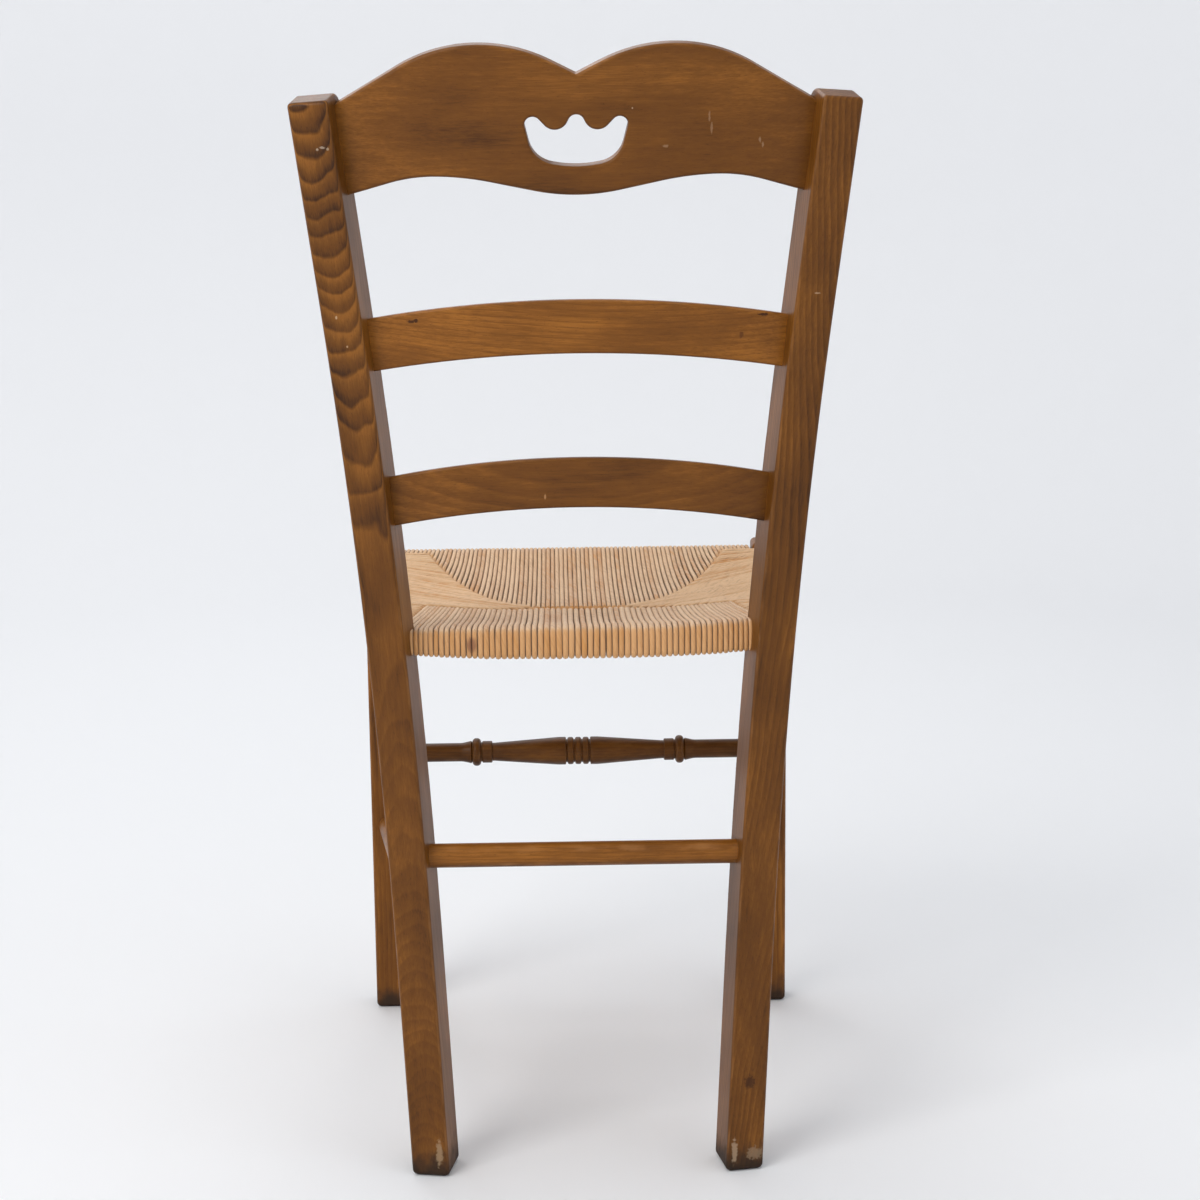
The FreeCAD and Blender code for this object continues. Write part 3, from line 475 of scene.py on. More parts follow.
        toned = graph.blend(1.0, stained, (self.tone, self.tone, self.tone, 1.0), "MULTIPLY")
        rough = 0.38 + (streak - 0.5) * 0.10 + (blotch - 0.5) * 0.10 + soiled * 0.3 + marked * 0.25
        relief = late * (-0.05) + (fine - 0.5) * 0.30 + (streak - 0.5) * 0.35 - rays * 0.12
        bump = graph.add("ShaderNodeBump", {"Height": relief, "Strength": 0.22, "Distance": 0.4 * MM})
        graph.surface({
            "Base Color": toned, "Roughness": rough, "Normal": bump, "IOR": 1.5,
            "Specular IOR Level": 0.20,
        })
        return material


@dataclass(frozen=True)
class RushFinish:
    """Dried rush twisted into cord: straw-coloured fibres that run round the cord."""

    name: str = "rush_cord"
    twist: float = 190.0
    stain: Mark = Mark((0.0890, 0.1501, 0.4440), (0.0050, 0.006, 0.0075), (112, 56, 34), 0.7)

    PALE = linear(220, 180, 136)
    STRAW = linear(202, 156, 108)
    GOLDEN = linear(204, 140, 68)
    BROWN = linear(128, 84, 46)
    # Painted shade for the crevices between neighbouring cords.
    CREVICE_SHADE = linear(92, 56, 28)

    @staticmethod
    def _kept(graph: Graph, name: str) -> Signal:
        """A value that the cord's geometry nodes or its guides left on the mesh."""
        return graph.add("ShaderNodeAttribute", {}, "Fac", attribute_name=name)

    def _fibres(self, graph: Graph, tint: Signal) -> tuple[Signal, Signal]:
        """Fine fibres and broad leaves, both twisted round the cord.

        Args:
            graph: The tree that is being built.
            tint: Each cord's own value, 0 to 1.

        Returns:
            The fibres and the leaves, 0 to 1.
        """
        along = self._kept(graph, "cord_along")
        ring = graph.join(self._kept(graph, "around_x"), self._kept(graph, "around_y"), 0.0)
        turned = graph.add("ShaderNodeVectorRotate", {"Vector": ring, "Angle": along * self.twist},
                           rotation_type="Z_AXIS")
        round_x, round_y, _ = graph.xyz(turned)
        shift = tint * 37.0
        moved = graph.vector("ADD", graph.join(round_x, round_y, along), graph.join(shift, shift, shift))
        fibre = graph.noise(moved, (3.4, 3.4, 30.0), 3.0, 1.0)
        leaf = graph.noise(moved, (0.9, 0.9, 14.0), 1.0, 5.0)
        return fibre, leaf

    def _shaded(self, graph: Graph, colour: Signal) -> Signal:
        """Warm a cord where it turns down over its rail, and paint shade on its sides where it lies against
        its neighbours.

        Args:
            graph: The tree that is being built.
            colour: The plain cord.

        Returns:
            The shaded colour.
        """
        row = self._kept(graph, "cord_row")
        facing = graph.xyz(graph.add("ShaderNodeNewGeometry", output="Normal"))
        aside = graph.absolute(facing[0]) * (1.0 - row) + graph.absolute(facing[1]) * row
        outward = graph.absolute(facing[1]) * (1.0 - row) + graph.absolute(facing[0]) * row
        colour = graph.blend(graph.ramp(outward, 0.25, 0.85, 0.0, 0.55), colour, self.GOLDEN)
        # Painted shade: each cord's sides, where it lies against its neighbours, are darkened.
        return graph.blend(graph.ramp(aside, 0.70, 1.0, 0.0, 0.55), colour, self.CREVICE_SHADE)

    def make(self) -> bpy.types.Material:
        """Build the material.

        Returns:
            The material of every cord of the seat.
        """
        material, graph = start_material(self.name)
        tint = self._kept(graph, "cord_tint")
        fibre, leaf = self._fibres(graph, tint)
        place = graph.add("ShaderNodeTexCoord", output="Object")
        cloud = graph.noise(place, (16.0, 16.0, 16.0), 2.0, 2.0)

        warmth = tint * 0.75 + (leaf - 0.5) * 0.9 + (cloud - 0.5) * 0.8
        colour = graph.blend(graph.ramp(warmth, 0.05, 0.95), self.PALE, self.STRAW)
        colour = graph.blend(graph.ramp(warmth, 0.55, 1.15), colour, self.GOLDEN)
        colour = graph.blend(graph.ramp(fibre, 0.52, 0.74, 0.0, 0.55), colour, self.BROWN)
        colour = graph.blend(graph.ramp(fibre, 0.22, 0.40, 0.35, 0.0), colour, self.PALE)
        colour = self._shaded(graph, colour)
        reach = self.stain.distance(graph, place) + (fibre - 0.5)
        spot = graph.ramp(reach, 0.45, 1.15, self.stain.strength, 0.0)
        colour = graph.blend(spot, colour, linear(*self.stain.colour))

        relief = (fibre - 0.5) * 0.9 + (leaf - 0.5) * 0.8
        bump = graph.add("ShaderNodeBump", {"Height": relief, "Strength": 0.5, "Distance": 0.5 * MM})
        graph.surface({
            "Base Color": colour, "Roughness": 0.56 + (fibre - 0.5) * 0.2, "Normal": bump,
            "Sheen Weight": 0.12, "Sheen Roughness": 0.5,
        })
        return material


@dataclass(frozen=True)
class StrawFinish:
    """Loose straw packed between the two layers of cord."""

    name: str = "straw_stuffing"
    COLOURS = (linear(176, 132, 78), linear(110, 76, 40))

    def make(self) -> bpy.types.Material:
        """Build the material.

        Returns:
            The material of the stuffing.
        """
        material, graph = start_material(self.name)
        place = graph.add("ShaderNodeTexCoord", output="Object")
        stalks = graph.noise(place, (90.0, 700.0, 700.0), 3.0, 4.0)
        colour = graph.blend(graph.ramp(stalks, 0.35, 0.65), *self.COLOURS)
        bump = graph.add("ShaderNodeBump", {"Height": stalks, "Strength": 0.8, "Distance": MM})
        graph.surface({"Base Color": colour, "Roughness": 0.75, "Normal": bump})
        return material


@dataclass(frozen=True)
class TackFinish:
    """Blued steel of the tacks, dulled unevenly."""

    name: str = "tack_steel"
    COLOURS = (linear(96, 98, 104), linear(62, 48, 38))

    def make(self) -> bpy.types.Material:
        """Build the material.

        Returns:
            The material of the tacks.
        """
        material, graph = start_material(self.name)
        place = graph.add("ShaderNodeTexCoord", output="Object")
        rust = graph.noise(place, (900.0, 900.0, 900.0), 3.0, 8.0)
        colour = graph.blend(graph.ramp(rust, 0.5, 0.68), *self.COLOURS)
        rough = graph.ramp(rust, 0.4, 0.7, 0.3, 0.7)
        graph.surface({"Base Color": colour, "Metallic": 0.9, "Roughness": rough})
        return material


def dress(node: str, material: bpy.types.Material) -> None:
    """Put a material on a CAD node.

    Args:
        node: The node's name.
        material: Its finish.
    """
    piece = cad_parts[node]
    for place in piece.material_slots:
        place.material = material
    LOG.info("%s wears %s", node, material.name)


@dataclass
class Uprights:
    """The two bent rear posts and the two square front legs."""

    turn: float = 10.5
    splay: float = 3.9
    sawn_lean: float = 5.0
    foot_x: float = 0.127
    foot_y: float = 0.168
    face_out: float = 0.020

    POST_MARKS = {
        "left": (
            Mark((0.1901, 0.2308, 0.8444), (0.0026, 0.004, 0.0010), (206, 186, 162), 0.6),
            Mark((0.1940, 0.2300, 0.8430), (0.0014, 0.004, 0.0012), (206, 186, 162), 0.7),
            Mark((0.1862, 0.2306, 0.8432), (0.0010, 0.004, 0.0010), (200, 180, 150), 0.6),
            Mark((0.1861, 0.2015, 0.7148), (0.0009, 0.004, 0.0014), (216, 184, 142)),
            Mark((0.1787, 0.1979, 0.6921), (0.0008, 0.004, 0.0010), (204, 166, 122)),
            Mark((0.1232, 0.1877, 0.0200), (0.0030, 0.006, 0.0120), (190, 160, 124), 0.55),
        ),
        "right": (
            Mark((-0.1845, 0.2051, 0.7296), (0.0026, 0.008, 0.0009), (206, 170, 132), 0.7),
            Mark((-0.1351, 0.1815, 0.0760), (0.0050, 0.008, 0.0060), (58, 30, 14), 0.7),
            Mark((-0.1220, 0.1860, 0.0180), (0.0030, 0.010, 0.0110), (200, 172, 140), 0.6),
            Mark((-0.1400, 0.1860, 0.0150), (0.0080, 0.010, 0.0060), (176, 148, 118), 0.5),
        ),
    }
    LEG_MARKS = {
        "left": (
            Mark((0.1800, -0.2130, 0.2240), (0.0016, 0.004, 0.0150), (214, 184, 152), 0.75),
            Mark((0.1835, -0.2130, 0.2420), (0.0030, 0.004, 0.0016), (214, 184, 152), 0.6),
        ),
        "right": (),
    }

    def _post_finish(self, name: str, side: int) -> BeechFinish:
        """Finish of one rear post, its plank's frame leaning as the blank was sawn.

        Args:
            name: left or right.
            side: 1 for left, -1 for right.

        Returns:
            The finish.
        """
        turned = Matrix.Rotation(math.radians(-side * self.turn), 3, "Z")
        leaning = turned @ Matrix.Rotation(math.radians(side * self.splay), 3, "Y")
        lean = math.radians(self.sawn_lean)
        along = leaning @ Vector((0.0, math.sin(lean), math.cos(lean)))
        out = leaning @ Vector((0.0, math.cos(lean), -math.sin(lean)))
        left = side > 0
        return BeechFinish(
            name=f"rear_post_{name}", figure=Figure.SCALLOPED if left else Figure.RIFT,
            lengthwise=tuple(along), facing=tuple(out),
            origin=(side * self.foot_x, self.foot_y + self.face_out, 0.0),
            pith=(0.003, 0.080) if left else (-0.085, 0.060),
            ring_width=0.0021 if left else 0.0034, tone=0.80 if left else 0.76,
            lower_contrast=0.24 if left else 0.8,
            seed=3.0 if left else 12.0, dirty_foot=1.0, marks=self.POST_MARKS[name],
        )

    def dress(self) -> None:
        """Give the posts and legs their finishes."""
        for name, side in (("left", 1), ("right", -1)):
            dress(f"rear_post_{name}", self._post_finish(name, side).make())
            leg = BeechFinish(
                name=f"front_leg_{name}", figure=Figure.RIFT, facing=(0.0, 1.0, 0.0),
                origin=(side * 0.185, -0.2295, 0.0), pith=(0.05 * side, 0.075), ring_width=0.0030,
                seed=21.0 + side, dirty_foot=1.0, marks=self.LEG_MARKS[name],
            )
            dress(f"front_leg_{name}", leg.make())


@dataclass
class BackRails:
    """The crest rail and the two slats, bowed between the posts."""

    lean: float = 12.6

    CREST_MARKS = (
        Mark((-0.1000, 0.2288, 0.8650), (0.0009, 0.006, 0.0050), (170, 134, 100), 0.45),
        Mark((-0.1018, 0.2288, 0.8555), (0.0009, 0.006, 0.0050), (170, 134, 100), 0.45),
        Mark((-0.0669, 0.2281, 0.8428), (0.0028, 0.006, 0.0013), (176, 140, 106), 0.5),
        Mark((-0.1388, 0.2204, 0.8470), (0.0010, 0.006, 0.0026), (176, 142, 108), 0.5),
        Mark((-0.1410, 0.2204, 0.8432), (0.0010, 0.006, 0.0024), (176, 142, 108), 0.5),
        Mark((-0.0421, 0.2359, 0.8712), (0.0008, 0.006, 0.0008), (190, 158, 122), 0.8),
    )
    UPPER_MARKS = (
        Mark((0.1290, 0.1927, 0.7102), (0.0040, 0.006, 0.0012), (54, 28, 12), 0.9),
        Mark((0.1255, 0.1930, 0.7112), (0.0016, 0.006, 0.0016), (54, 28, 12), 0.9),
        Mark((-0.1441, 0.1908, 0.7127), (0.0050, 0.006, 0.0012), (54, 28, 12), 0.9),
        Mark((-0.1270, 0.1906, 0.6974), (0.0022, 0.006, 0.0028), (70, 36, 16), 0.6),
    )
    LOWER_MARKS = (
        Mark((0.0275, 0.1771, 0.5692), (0.0008, 0.006, 0.0028), (190, 140, 90), 0.7),
    )

    def dress(self) -> None:
        """Give the three rails their finishes."""
        lean = math.radians(self.lean)
        out = (0.0, math.cos(lean), -math.sin(lean))
        crest = BeechFinish(
            name="crest_rail", figure=Figure.FLAT, lengthwise=(1.0, 0.0, 0.0), facing=out,
            origin=(0.0, 0.24, 0.86), pith=(0.22, 0.10), ring_width=0.0042, tone=0.90, seed=31.0,
            marks=self.CREST_MARKS,
        )
        upper = BeechFinish(
            name="upper_slat", figure=Figure.LINED, lengthwise=(0.996, 0.0, 0.05), facing=out,
            origin=(0.0, 0.2, 0.70), pith=(-0.16, 0.05), ring_width=0.0042, tone=1.12, seed=43.0,
            marks=self.UPPER_MARKS,
        )
        lower = BeechFinish(
            name="lower_slat", figure=Figure.OVAL, lengthwise=(1.0, 0.0, 0.0), facing=out,
            origin=(0.0, 0.18, 0.58), pith=(-0.026, 0.055), ring_width=0.0045, tone=0.88, seed=57.0,
            marks=self.LOWER_MARKS,
        )
        for finish in (crest, upper, lower):
            dress(finish.name, finish.make())


@dataclass
class Stretchers:
    """The rails and stretchers that lie between the legs."""

    RING_WIDTH = 0.0030
    PITH = (0.012, -0.03)
    # Tones of the crosswise pieces. The front stretcher's 0.52 is painted shade: it darkens the stretcher
    # where it lies in shade under the seat.
    CROSSWISE = {"rear_stretcher": 1.1, "front_stretcher": 0.52, "rear_seat_rail": 1.0,
                 "front_seat_rail": 1.0}
    LENGTHWISE = ("left_upper_stretcher", "left_lower_stretcher", "right_upper_stretcher",
                  "right_lower_stretcher", "left_seat_rail", "right_seat_rail")

    def dress(self) -> None:
        """Give the stretchers and the hidden seat rails their finishes."""
        looks = [(node, (1.0, 0.0, 0.0), tone) for node, tone in self.CROSSWISE.items()]
        looks += [(node, (0.0, 1.0, 0.0), 1.0) for node in self.LENGTHWISE]
        for number, (node, way, tone) in enumerate(looks):
            low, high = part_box(node)
            finish = BeechFinish(
                name=node, figure=Figure.TURNED, lengthwise=way, facing=(0.0, 0.0, 1.0),
                origin=tuple((low + high) / 2), pith=self.PITH, ring_width=self.RING_WIDTH,
                tone=tone, seed=61.0 + 3.0 * number,
            )
            dress(node, finish.make())


class CordTree:
    """Geometry nodes that wind a cord of twisted rush along every path they are given."""

    INPUTS = (
        ("Radius", "NodeSocketFloat", 2.05 * MM),
        ("Unevenness", "NodeSocketFloat", 0.10),
        ("Wander", "NodeSocketFloat", 0.35 * MM),
        ("Flatness", "NodeSocketFloat", 0.92),
        ("Sides", "NodeSocketInt", 8),
        ("Seed", "NodeSocketInt", 7),
        ("Finish", "NodeSocketMaterial", None),
    )
    WAVES = 38.0
    LUMP_SEED = 3

    def __init__(self) -> None:
        """Build the tree once."""
        tree = bpy.data.node_groups.new("wound_cord", "GeometryNodeTree")
        graph = Graph(tree)
        tree.interface.new_socket("Paths", in_out="INPUT", socket_type="NodeSocketGeometry")
        self.identifiers = {}
        for name, kind, default in self.INPUTS:
            socket = tree.interface.new_socket(name, in_out="INPUT", socket_type=kind)
            if default is not None:
                socket.default_value = default
            self.identifiers[name] = socket.identifier
        tree.interface.new_socket("Cords", in_out="OUTPUT", socket_type="NodeSocketGeometry")
        given = graph.node("NodeGroupInput")
        inputs = {socket.name: Signal(graph, socket) for socket in given.outputs if socket.name}
        self.tree = tree
        self._wind(graph, inputs)

    @staticmethod
    def _keep(graph: Graph, geometry: Signal, name: str, value: Feed) -> Signal:
        """Store a float attribute on the points."""
        inputs = {"Geometry": geometry, "Name": name, "Value": value}
        return graph.add("GeometryNodeStoreNamedAttribute", inputs, data_type="FLOAT", domain="POINT")

    @staticmethod
    def _read(graph: Graph, name: str) -> Signal:
        """A float attribute of the paths."""
        return graph.add("GeometryNodeInputNamedAttribute", {"Name": name}, "Attribute", data_type="FLOAT")

    @staticmethod
    def _random(graph: Graph, number: Signal, low: float, seed: Feed) -> Signal:
        """A value from low to 1 for each cord."""
        inputs = {"Min_001": low, "Max_001": 1.0, "ID": number, "Seed": seed}
        return graph.add("FunctionNodeRandomValue", inputs, "Value_001", data_type="FLOAT")

    def _section(self, graph: Graph, given: dict[str, Signal]) -> Signal:
        """The cord's section, with its place round the cord kept for the material.

        Args:
            graph: The tree that is being built.
            given: The tree's inputs by name.

        Returns:
            The section.
        """
        section = graph.add("GeometryNodeCurvePrimitiveCircle",
                            {"Resolution": given["Sides"], "Radius": given["Radius"]}, "Curve")
        parts = graph.xyz(graph.vector("NORMALIZE", graph.add("GeometryNodeInputPosition")))
        section = self._keep(graph, section, "around_x", parts[0])
        section = self._keep(graph, section, "around_y", parts[1])
        squeezed = graph.join(1.0, given["Flatness"], 1.0)
        return graph.add("GeometryNodeTransform", {"Geometry": section, "Scale": squeezed})

    def _wind(self, graph: Graph, given: dict[str, Signal]) -> None:
        """Sweep an uneven round section along the paths.

        Args:
            graph: The tree.
            given: The tree's inputs by name.
        """
        curves = graph.add("GeometryNodeMeshToCurve", {"Mesh": given["Paths"]}, "Curve")
        number = self._read(graph, "cord_number")
        place = graph.add("GeometryNodeInputPosition")
        along = graph.add("GeometryNodeSplineParameter", output="Length")
        tint = self._random(graph, number, 0.0, given["Seed"])
        curves = self._keep(graph, curves, "cord_tint", tint)
        curves = self._keep(graph, curves, "cord_along", along)

        apart = graph.join(number * 3.7, number * 1.3, number * 7.1)
        waves = (self.WAVES,) * 3
        where = graph.vector("ADD", graph.vector("MULTIPLY", place, waves), apart)
        drift = graph.add("ShaderNodeTexNoise", {"Vector": where, "Scale": 1.0, "Detail": 1.0}, "Color")
        centred = graph.vector("SUBTRACT", drift, (0.5, 0.5, 0.5))
        wander = graph.join(given["Wander"], given["Wander"], given["Wander"])
        doubled = graph.vector("MULTIPLY", graph.vector("MULTIPLY", centred, wander), (2.0, 2.0, 2.0))
        curves = graph.add("GeometryNodeSetPosition", {"Geometry": curves, "Offset": doubled})

        swell = graph.noise(where, (1.7, 1.7, 1.7), 1.0, 3.0) - 0.5
        lump = self._random(graph, number, -1.0, self.LUMP_SEED)
        thick = self._read(graph, "cord_thickness")
        factor = (1.0 + (swell * 2.0 + lump * 0.6) * given["Unevenness"]) * thick
        curves = graph.add("GeometryNodeSetCurveRadius", {"Curve": curves, "Radius": factor})

        sweep = graph.node("GeometryNodeCurveToMesh", {
            "Curve": curves, "Profile Curve": self._section(graph, given), "Fill Caps": True,
        })
        # A sweep with a Scale input takes the curve's radius through it.
        scale = [socket for socket in sweep.inputs if socket.name == "Scale"]
        if scale:
            radius = graph.add("GeometryNodeInputRadius")
            graph.tree.links.new(radius.socket, scale[0])
        cords = Signal(graph, sweep.outputs[0])
        cords = graph.add("GeometryNodeRealizeInstances", {"Geometry": cords})
        cords = graph.add("GeometryNodeSetMaterial", {"Geometry": cords, "Material": given["Finish"]})
        graph.node("NodeGroupOutput", {0: cords})

    def apply(self, paths: bpy.types.Object, **values: object) -> bpy.types.Object:
        """Wind cords on an object's paths and turn the result into a plain mesh.

        Args:
            paths: An object whose mesh is only edges, with its cord attributes.
            values: Inputs of the tree by name.

        Returns:
            The same object, now holding the cords.
        """
        modifier = paths.modifiers.new("cords", "NODES")
        modifier.node_group = self.tree
        for name, value in values.items():
            modifier[self.identifiers[name]] = value
        evaluated = paths.evaluated_get(bpy.context.evaluated_depsgraph_get())
        made = bpy.data.meshes.new_from_object(evaluated)
        guide = paths.data
        paths.modifiers.remove(modifier)
        paths.data = made
        bpy.data.meshes.remove(guide)
        made.shade_smooth()
        return paths


@dataclass
class RushSeat:
    """Four panels of cord wound over the seat rails and crossed along their mitres."""

    cord: float = 2.05 * MM
    rail_top: float = 0.451
    rail_bottom: float = 0.436
    rail_half: float = 0.010
    rear_rail_y: float = 0.1368
    front_rail_y: float = -0.2295
    side_rail_x: float = 0.1521
    side_rail_splay: float = 0.107
    rear_reach: float = 0.1478
    front_reach: float = 0.1664
    side_front_y: float = -0.2105
    side_rear_y: float = 0.1195
    # The four mitres meet in a short seam across the middle.
    seam_x: float = 0.036
    seam_y: float = -0.016
    front_corner: float = 0.139
    front_mitre_power: float = 2.2
    rear_mitre_rise: tuple[float, float] = (0.235, 0.765)
    mitre_points: int = 120
    # The seat sinks in the middle, and cords dive between their neighbours at a mitre.
    dish: float = 0.0145
    dish_powers: tuple[float, float] = (1.8, 2.6)
    under_share: float = 0.10
    dive: float = 0.0036
    dive_reach: float = 0.007
    tuck: float = 0.0025
    # Courses of each panel.
    rear_count: int = 64
    rear_crowding: float = 0.10
    front_count: int = 82
    side_front_count: int = 27
    side_rear_count: int = 28
    # How the courses are heaped, pinched and drawn aside.
    right_heap: float = 5.5 * MM
    heap_from: float = 0.055
    heap_reach: float = 0.09
    ridge: float = 1.5 * MM
    sag: float = 1.8 * MM
    post_pinch: float = 5.2 * MM
    leg_pinch: float = 2.0 * MM
    rear_lean: float = 17 * MM
    rear_lean_length: float = 0.122
    front_fan: float = 0.005
    fan_reach: float = 0.120
    fan_length: float = 0.100
    side_width: float = 1.35
    wrap_squareness: float = 0.45
    under_points: int = 7
    wrap_points: int = 15
    top_points: int = 20
    # The straw stops short of the rails, and more so at the corners.
    straw_gap: float = 3 * MM
    straw_corner: float = 0.012
    straw_least: float = 0.5 * MM
    straw_cells: int = 24

    def height(self, x: float, y: float) -> float:
        """Level of the top cords' middle line: the seat is dished between its rails.

        Args:
            x: Distance from the middle, left positive.
            y: Distance back from the chair's origin.

        Returns:
            The level.
        """
        half_x = self.side_x(y) - self.rail_half
        middle = (self.rear_rail_y + self.front_rail_y) / 2
        half_y = (self.rear_rail_y - self.front_rail_y) / 2 - self.rail_half
        sideways = max(0.0, 1 - abs(x / half_x) ** self.dish_powers[0])
        lengthways = max(0.0, 1 - abs((y - middle) / half_y) ** self.dish_powers[1])
        return self.rail_top + self.cord - self.dish * sideways * lengthways

    def side_x(self, y: float) -> float:
        """Distance of a side rail's middle line from the middle of the chair."""
        return self.side_rail_x + (self.rear_rail_y - y) * self.side_rail_splay

    def rear_mitre(self, x: float) -> float:
        """How far back the rear mitre lies: a slow rise, then a steep edge beside the post.

        Args:
            x: Distance from the middle, left positive.

        Returns:
            The mitre's Y.
        """
        share = min(1.0, max(0.0, (abs(x) - self.seam_x) / (self.rear_reach - self.seam_x)))
        corner = self.rear_rail_y - self.rail_half
        slow, steep = self.rear_mitre_rise
        return self.seam_y + (corner - self.seam_y) * (slow * share ** 0.55 + steep * share ** 400)

    def front_mitre(self, x: float) -> float:
        """How far back the front mitre lies at a distance from the middle.

        Args:
            x: Distance from the middle, left positive.

        Returns:
            The mitre's Y.
        """
        share = min(1.0, max(0.0, (abs(x) - self.seam_x) / (self.front_corner - self.seam_x)))
        corner = self.front_rail_y + self.rail_half + self.cord
        return self.seam_y + (corner - self.seam_y) * share ** self.front_mitre_power

    def _across(self, start: Vector, bend: Vector, end: Vector, level: Callable[[float, float], float],
                count: int, up: int, lift: float) -> list[Vector]:
        """Points of a cord over the open seat, from its rail to its mitre.

        Args:
            start: Where it leaves the top or bottom of the rail.
            bend: Point that the plan of the cord is drawn towards.
            end: Point on the mitre.
            level: Height of the layer.
            count: Number of points after the start.
            up: 1 for the upper layer, -1 for the lower.
            lift: How far the cord is heaped up at the rail.

        Returns:
            The points, the last tucked past the mitre.
        """
        points = []
        length = (bend - start).length + (end - bend).length
        for step in range(1, count + 1):
            share = step / count
            place = start.lerp(bend, share).lerp(bend.lerp(end, share), share)
            heap = lift * (1 - share) ** 1.5
            points.append(Vector((place.x, place.y, level(place.x, place.y) + heap)))
            left = (1 - share) * length
            points[-1].z -= math.copysign(self.dive * max(0.0, 1 - left / self.dive_reach) ** 2, up)
        last = (end - bend).normalized() * self.tuck
        points.append(points[-1] + Vector((last.x, last.y, -0.6 * self.tuck * up)))
        return points

    def path(self, rail: Vector, outward: Vector, bend: Vector, end: Vector, pinch: float = 0.0,
             lift: float = 0.0) -> list[Vector]:
        """One course of cord: under the seat, round the rail and back over to the mitre.

        Args:
            rail: Point on the rail's middle line, in plan.
            outward: Way out from the seat there, in plan.
            bend: Point that the plan of the cord is drawn towards.
            end: Point on the mitre, in plan.
            pinch: How much the cord is drawn up under the rail.
            lift: How far it is heaped up on the rail.

        Returns:
            The course's points.
        """
        middle = (self.rail_top + self.rail_bottom) / 2
        deep = self.rail_half + self.cord
        high = (self.rail_top - self.rail_bottom) / 2 + self.cord
        low = middle - high + pinch

        def below(x: float, y: float) -> float:
            """Level of the lower cords."""
            return low + self._under_rise(x, y)

        under = self._across(rail, bend, end, below, self.under_points, -1, 0.0)
        around = []
        for step in range(self.wrap_points + 1):
            angle = math.pi * (step / self.wrap_points - 0.5)
            out = deep * max(0.0, math.cos(angle)) ** self.wrap_squareness
            rise = math.copysign(abs(math.sin(angle)) ** self.wrap_squareness, angle)
            level = middle + (high + lift if angle > 0 else high - pinch) * rise
            around.append(Vector((rail.x, rail.y, level)) + Vector((outward.x, outward.y, 0)) * out)
        over = self._across(rail, bend, end, self.height, self.top_points, 1, lift)
        return [*reversed(under), *around, *over]

    def _under_rise(self, x: float, y: float) -> float:
        """How far the lower cords rise towards the middle of the seat."""
        return self.under_share * (self.rail_top + self.cord - self.height(x, y))

    def rear_courses(self) -> list[list[Vector]]:
        """Courses over the rear rail, drawn towards the middle near the posts.

        Returns:
            The courses from right to left.
        """
        courses = []
        for number in range(self.rear_count):
            evenly = 2 * (number + 0.5) / self.rear_count - 1
            x = self.rear_reach * evenly * (1 + self.rear_crowding * (1 - evenly ** 2))
            length = self.rear_rail_y - self.rear_mitre(x)
            inward = self.rear_lean * (abs(x) / self.rear_reach) ** 2.5 * length / self.rear_lean_length
            end_x = x - math.copysign(inward, x)
            end = Vector((end_x, self.rear_mitre(end_x), 0))
            rail = Vector((x, self.rear_rail_y, 0))
            bend = Vector((x - math.copysign(inward * 0.55, x), (rail.y + end.y) / 2, 0))
            pinch = self.post_pinch * abs(x / self.rear_reach) ** 3 - self.sag
            heaped = max(0.0, (-x - self.heap_from) / self.heap_reach) ** 1.4
            lift = self.ridge + self.right_heap * heaped
            courses.append(self.path(rail, Vector((0, 1, 0)), bend, end, pinch, lift))
        return courses

    def front_courses(self) -> list[list[Vector]]:
        """Courses over the front rail, spreading a little towards the sides.

        Returns:
            The courses from right to left.
        """
        courses = []
        for number in range(self.front_count):
            x = self.front_reach * (2 * (number + 0.5) / self.front_count - 1)
            length = self.front_mitre(x) - self.front_rail_y
            outward = self.front_fan * (abs(x) / self.fan_reach) ** 2 * length / self.fan_length
            end_x = x + math.copysign(outward, x)
            end = Vector((end_x, self.front_mitre(end_x), 0))
            rail = Vector((x, self.front_rail_y, 0))
            bend = Vector((x + math.copysign(outward * 0.2, x), (rail.y + end.y) / 2, 0))
            pinch = self.leg_pinch * abs(x / self.front_reach) ** 4
            courses.append(self.path(rail, Vector((0, -1, 0)), bend, end, pinch))
        return courses

    def _ends(self, mitre: Callable[[float], float], start: list[tuple[float, float]],
              count: int) -> list[Vector]:
        """Even steps along a mitre in plan, from its corner to the seam.

        Args:
            mitre: The mitre's course.
            start: Points of the edge before the mitre, the last of them on it.
            count: Number of steps.

        Returns:
            The middles of the steps.
        """
        across = np.linspace(start[-1][0], self.seam_x, self.mitre_points)
        points = np.array([*start[:-1], *((x, mitre(x)) for x in across)])
        run = np.concatenate([[0.0], np.cumsum(np.hypot(*np.diff(points, axis=0).T))])
        wanted = (np.arange(count) + 0.5) / count * run[-1]
        return [Vector((np.interp(at, run, points[:, 0]), np.interp(at, run, points[:, 1]), 0))
                for at in wanted]

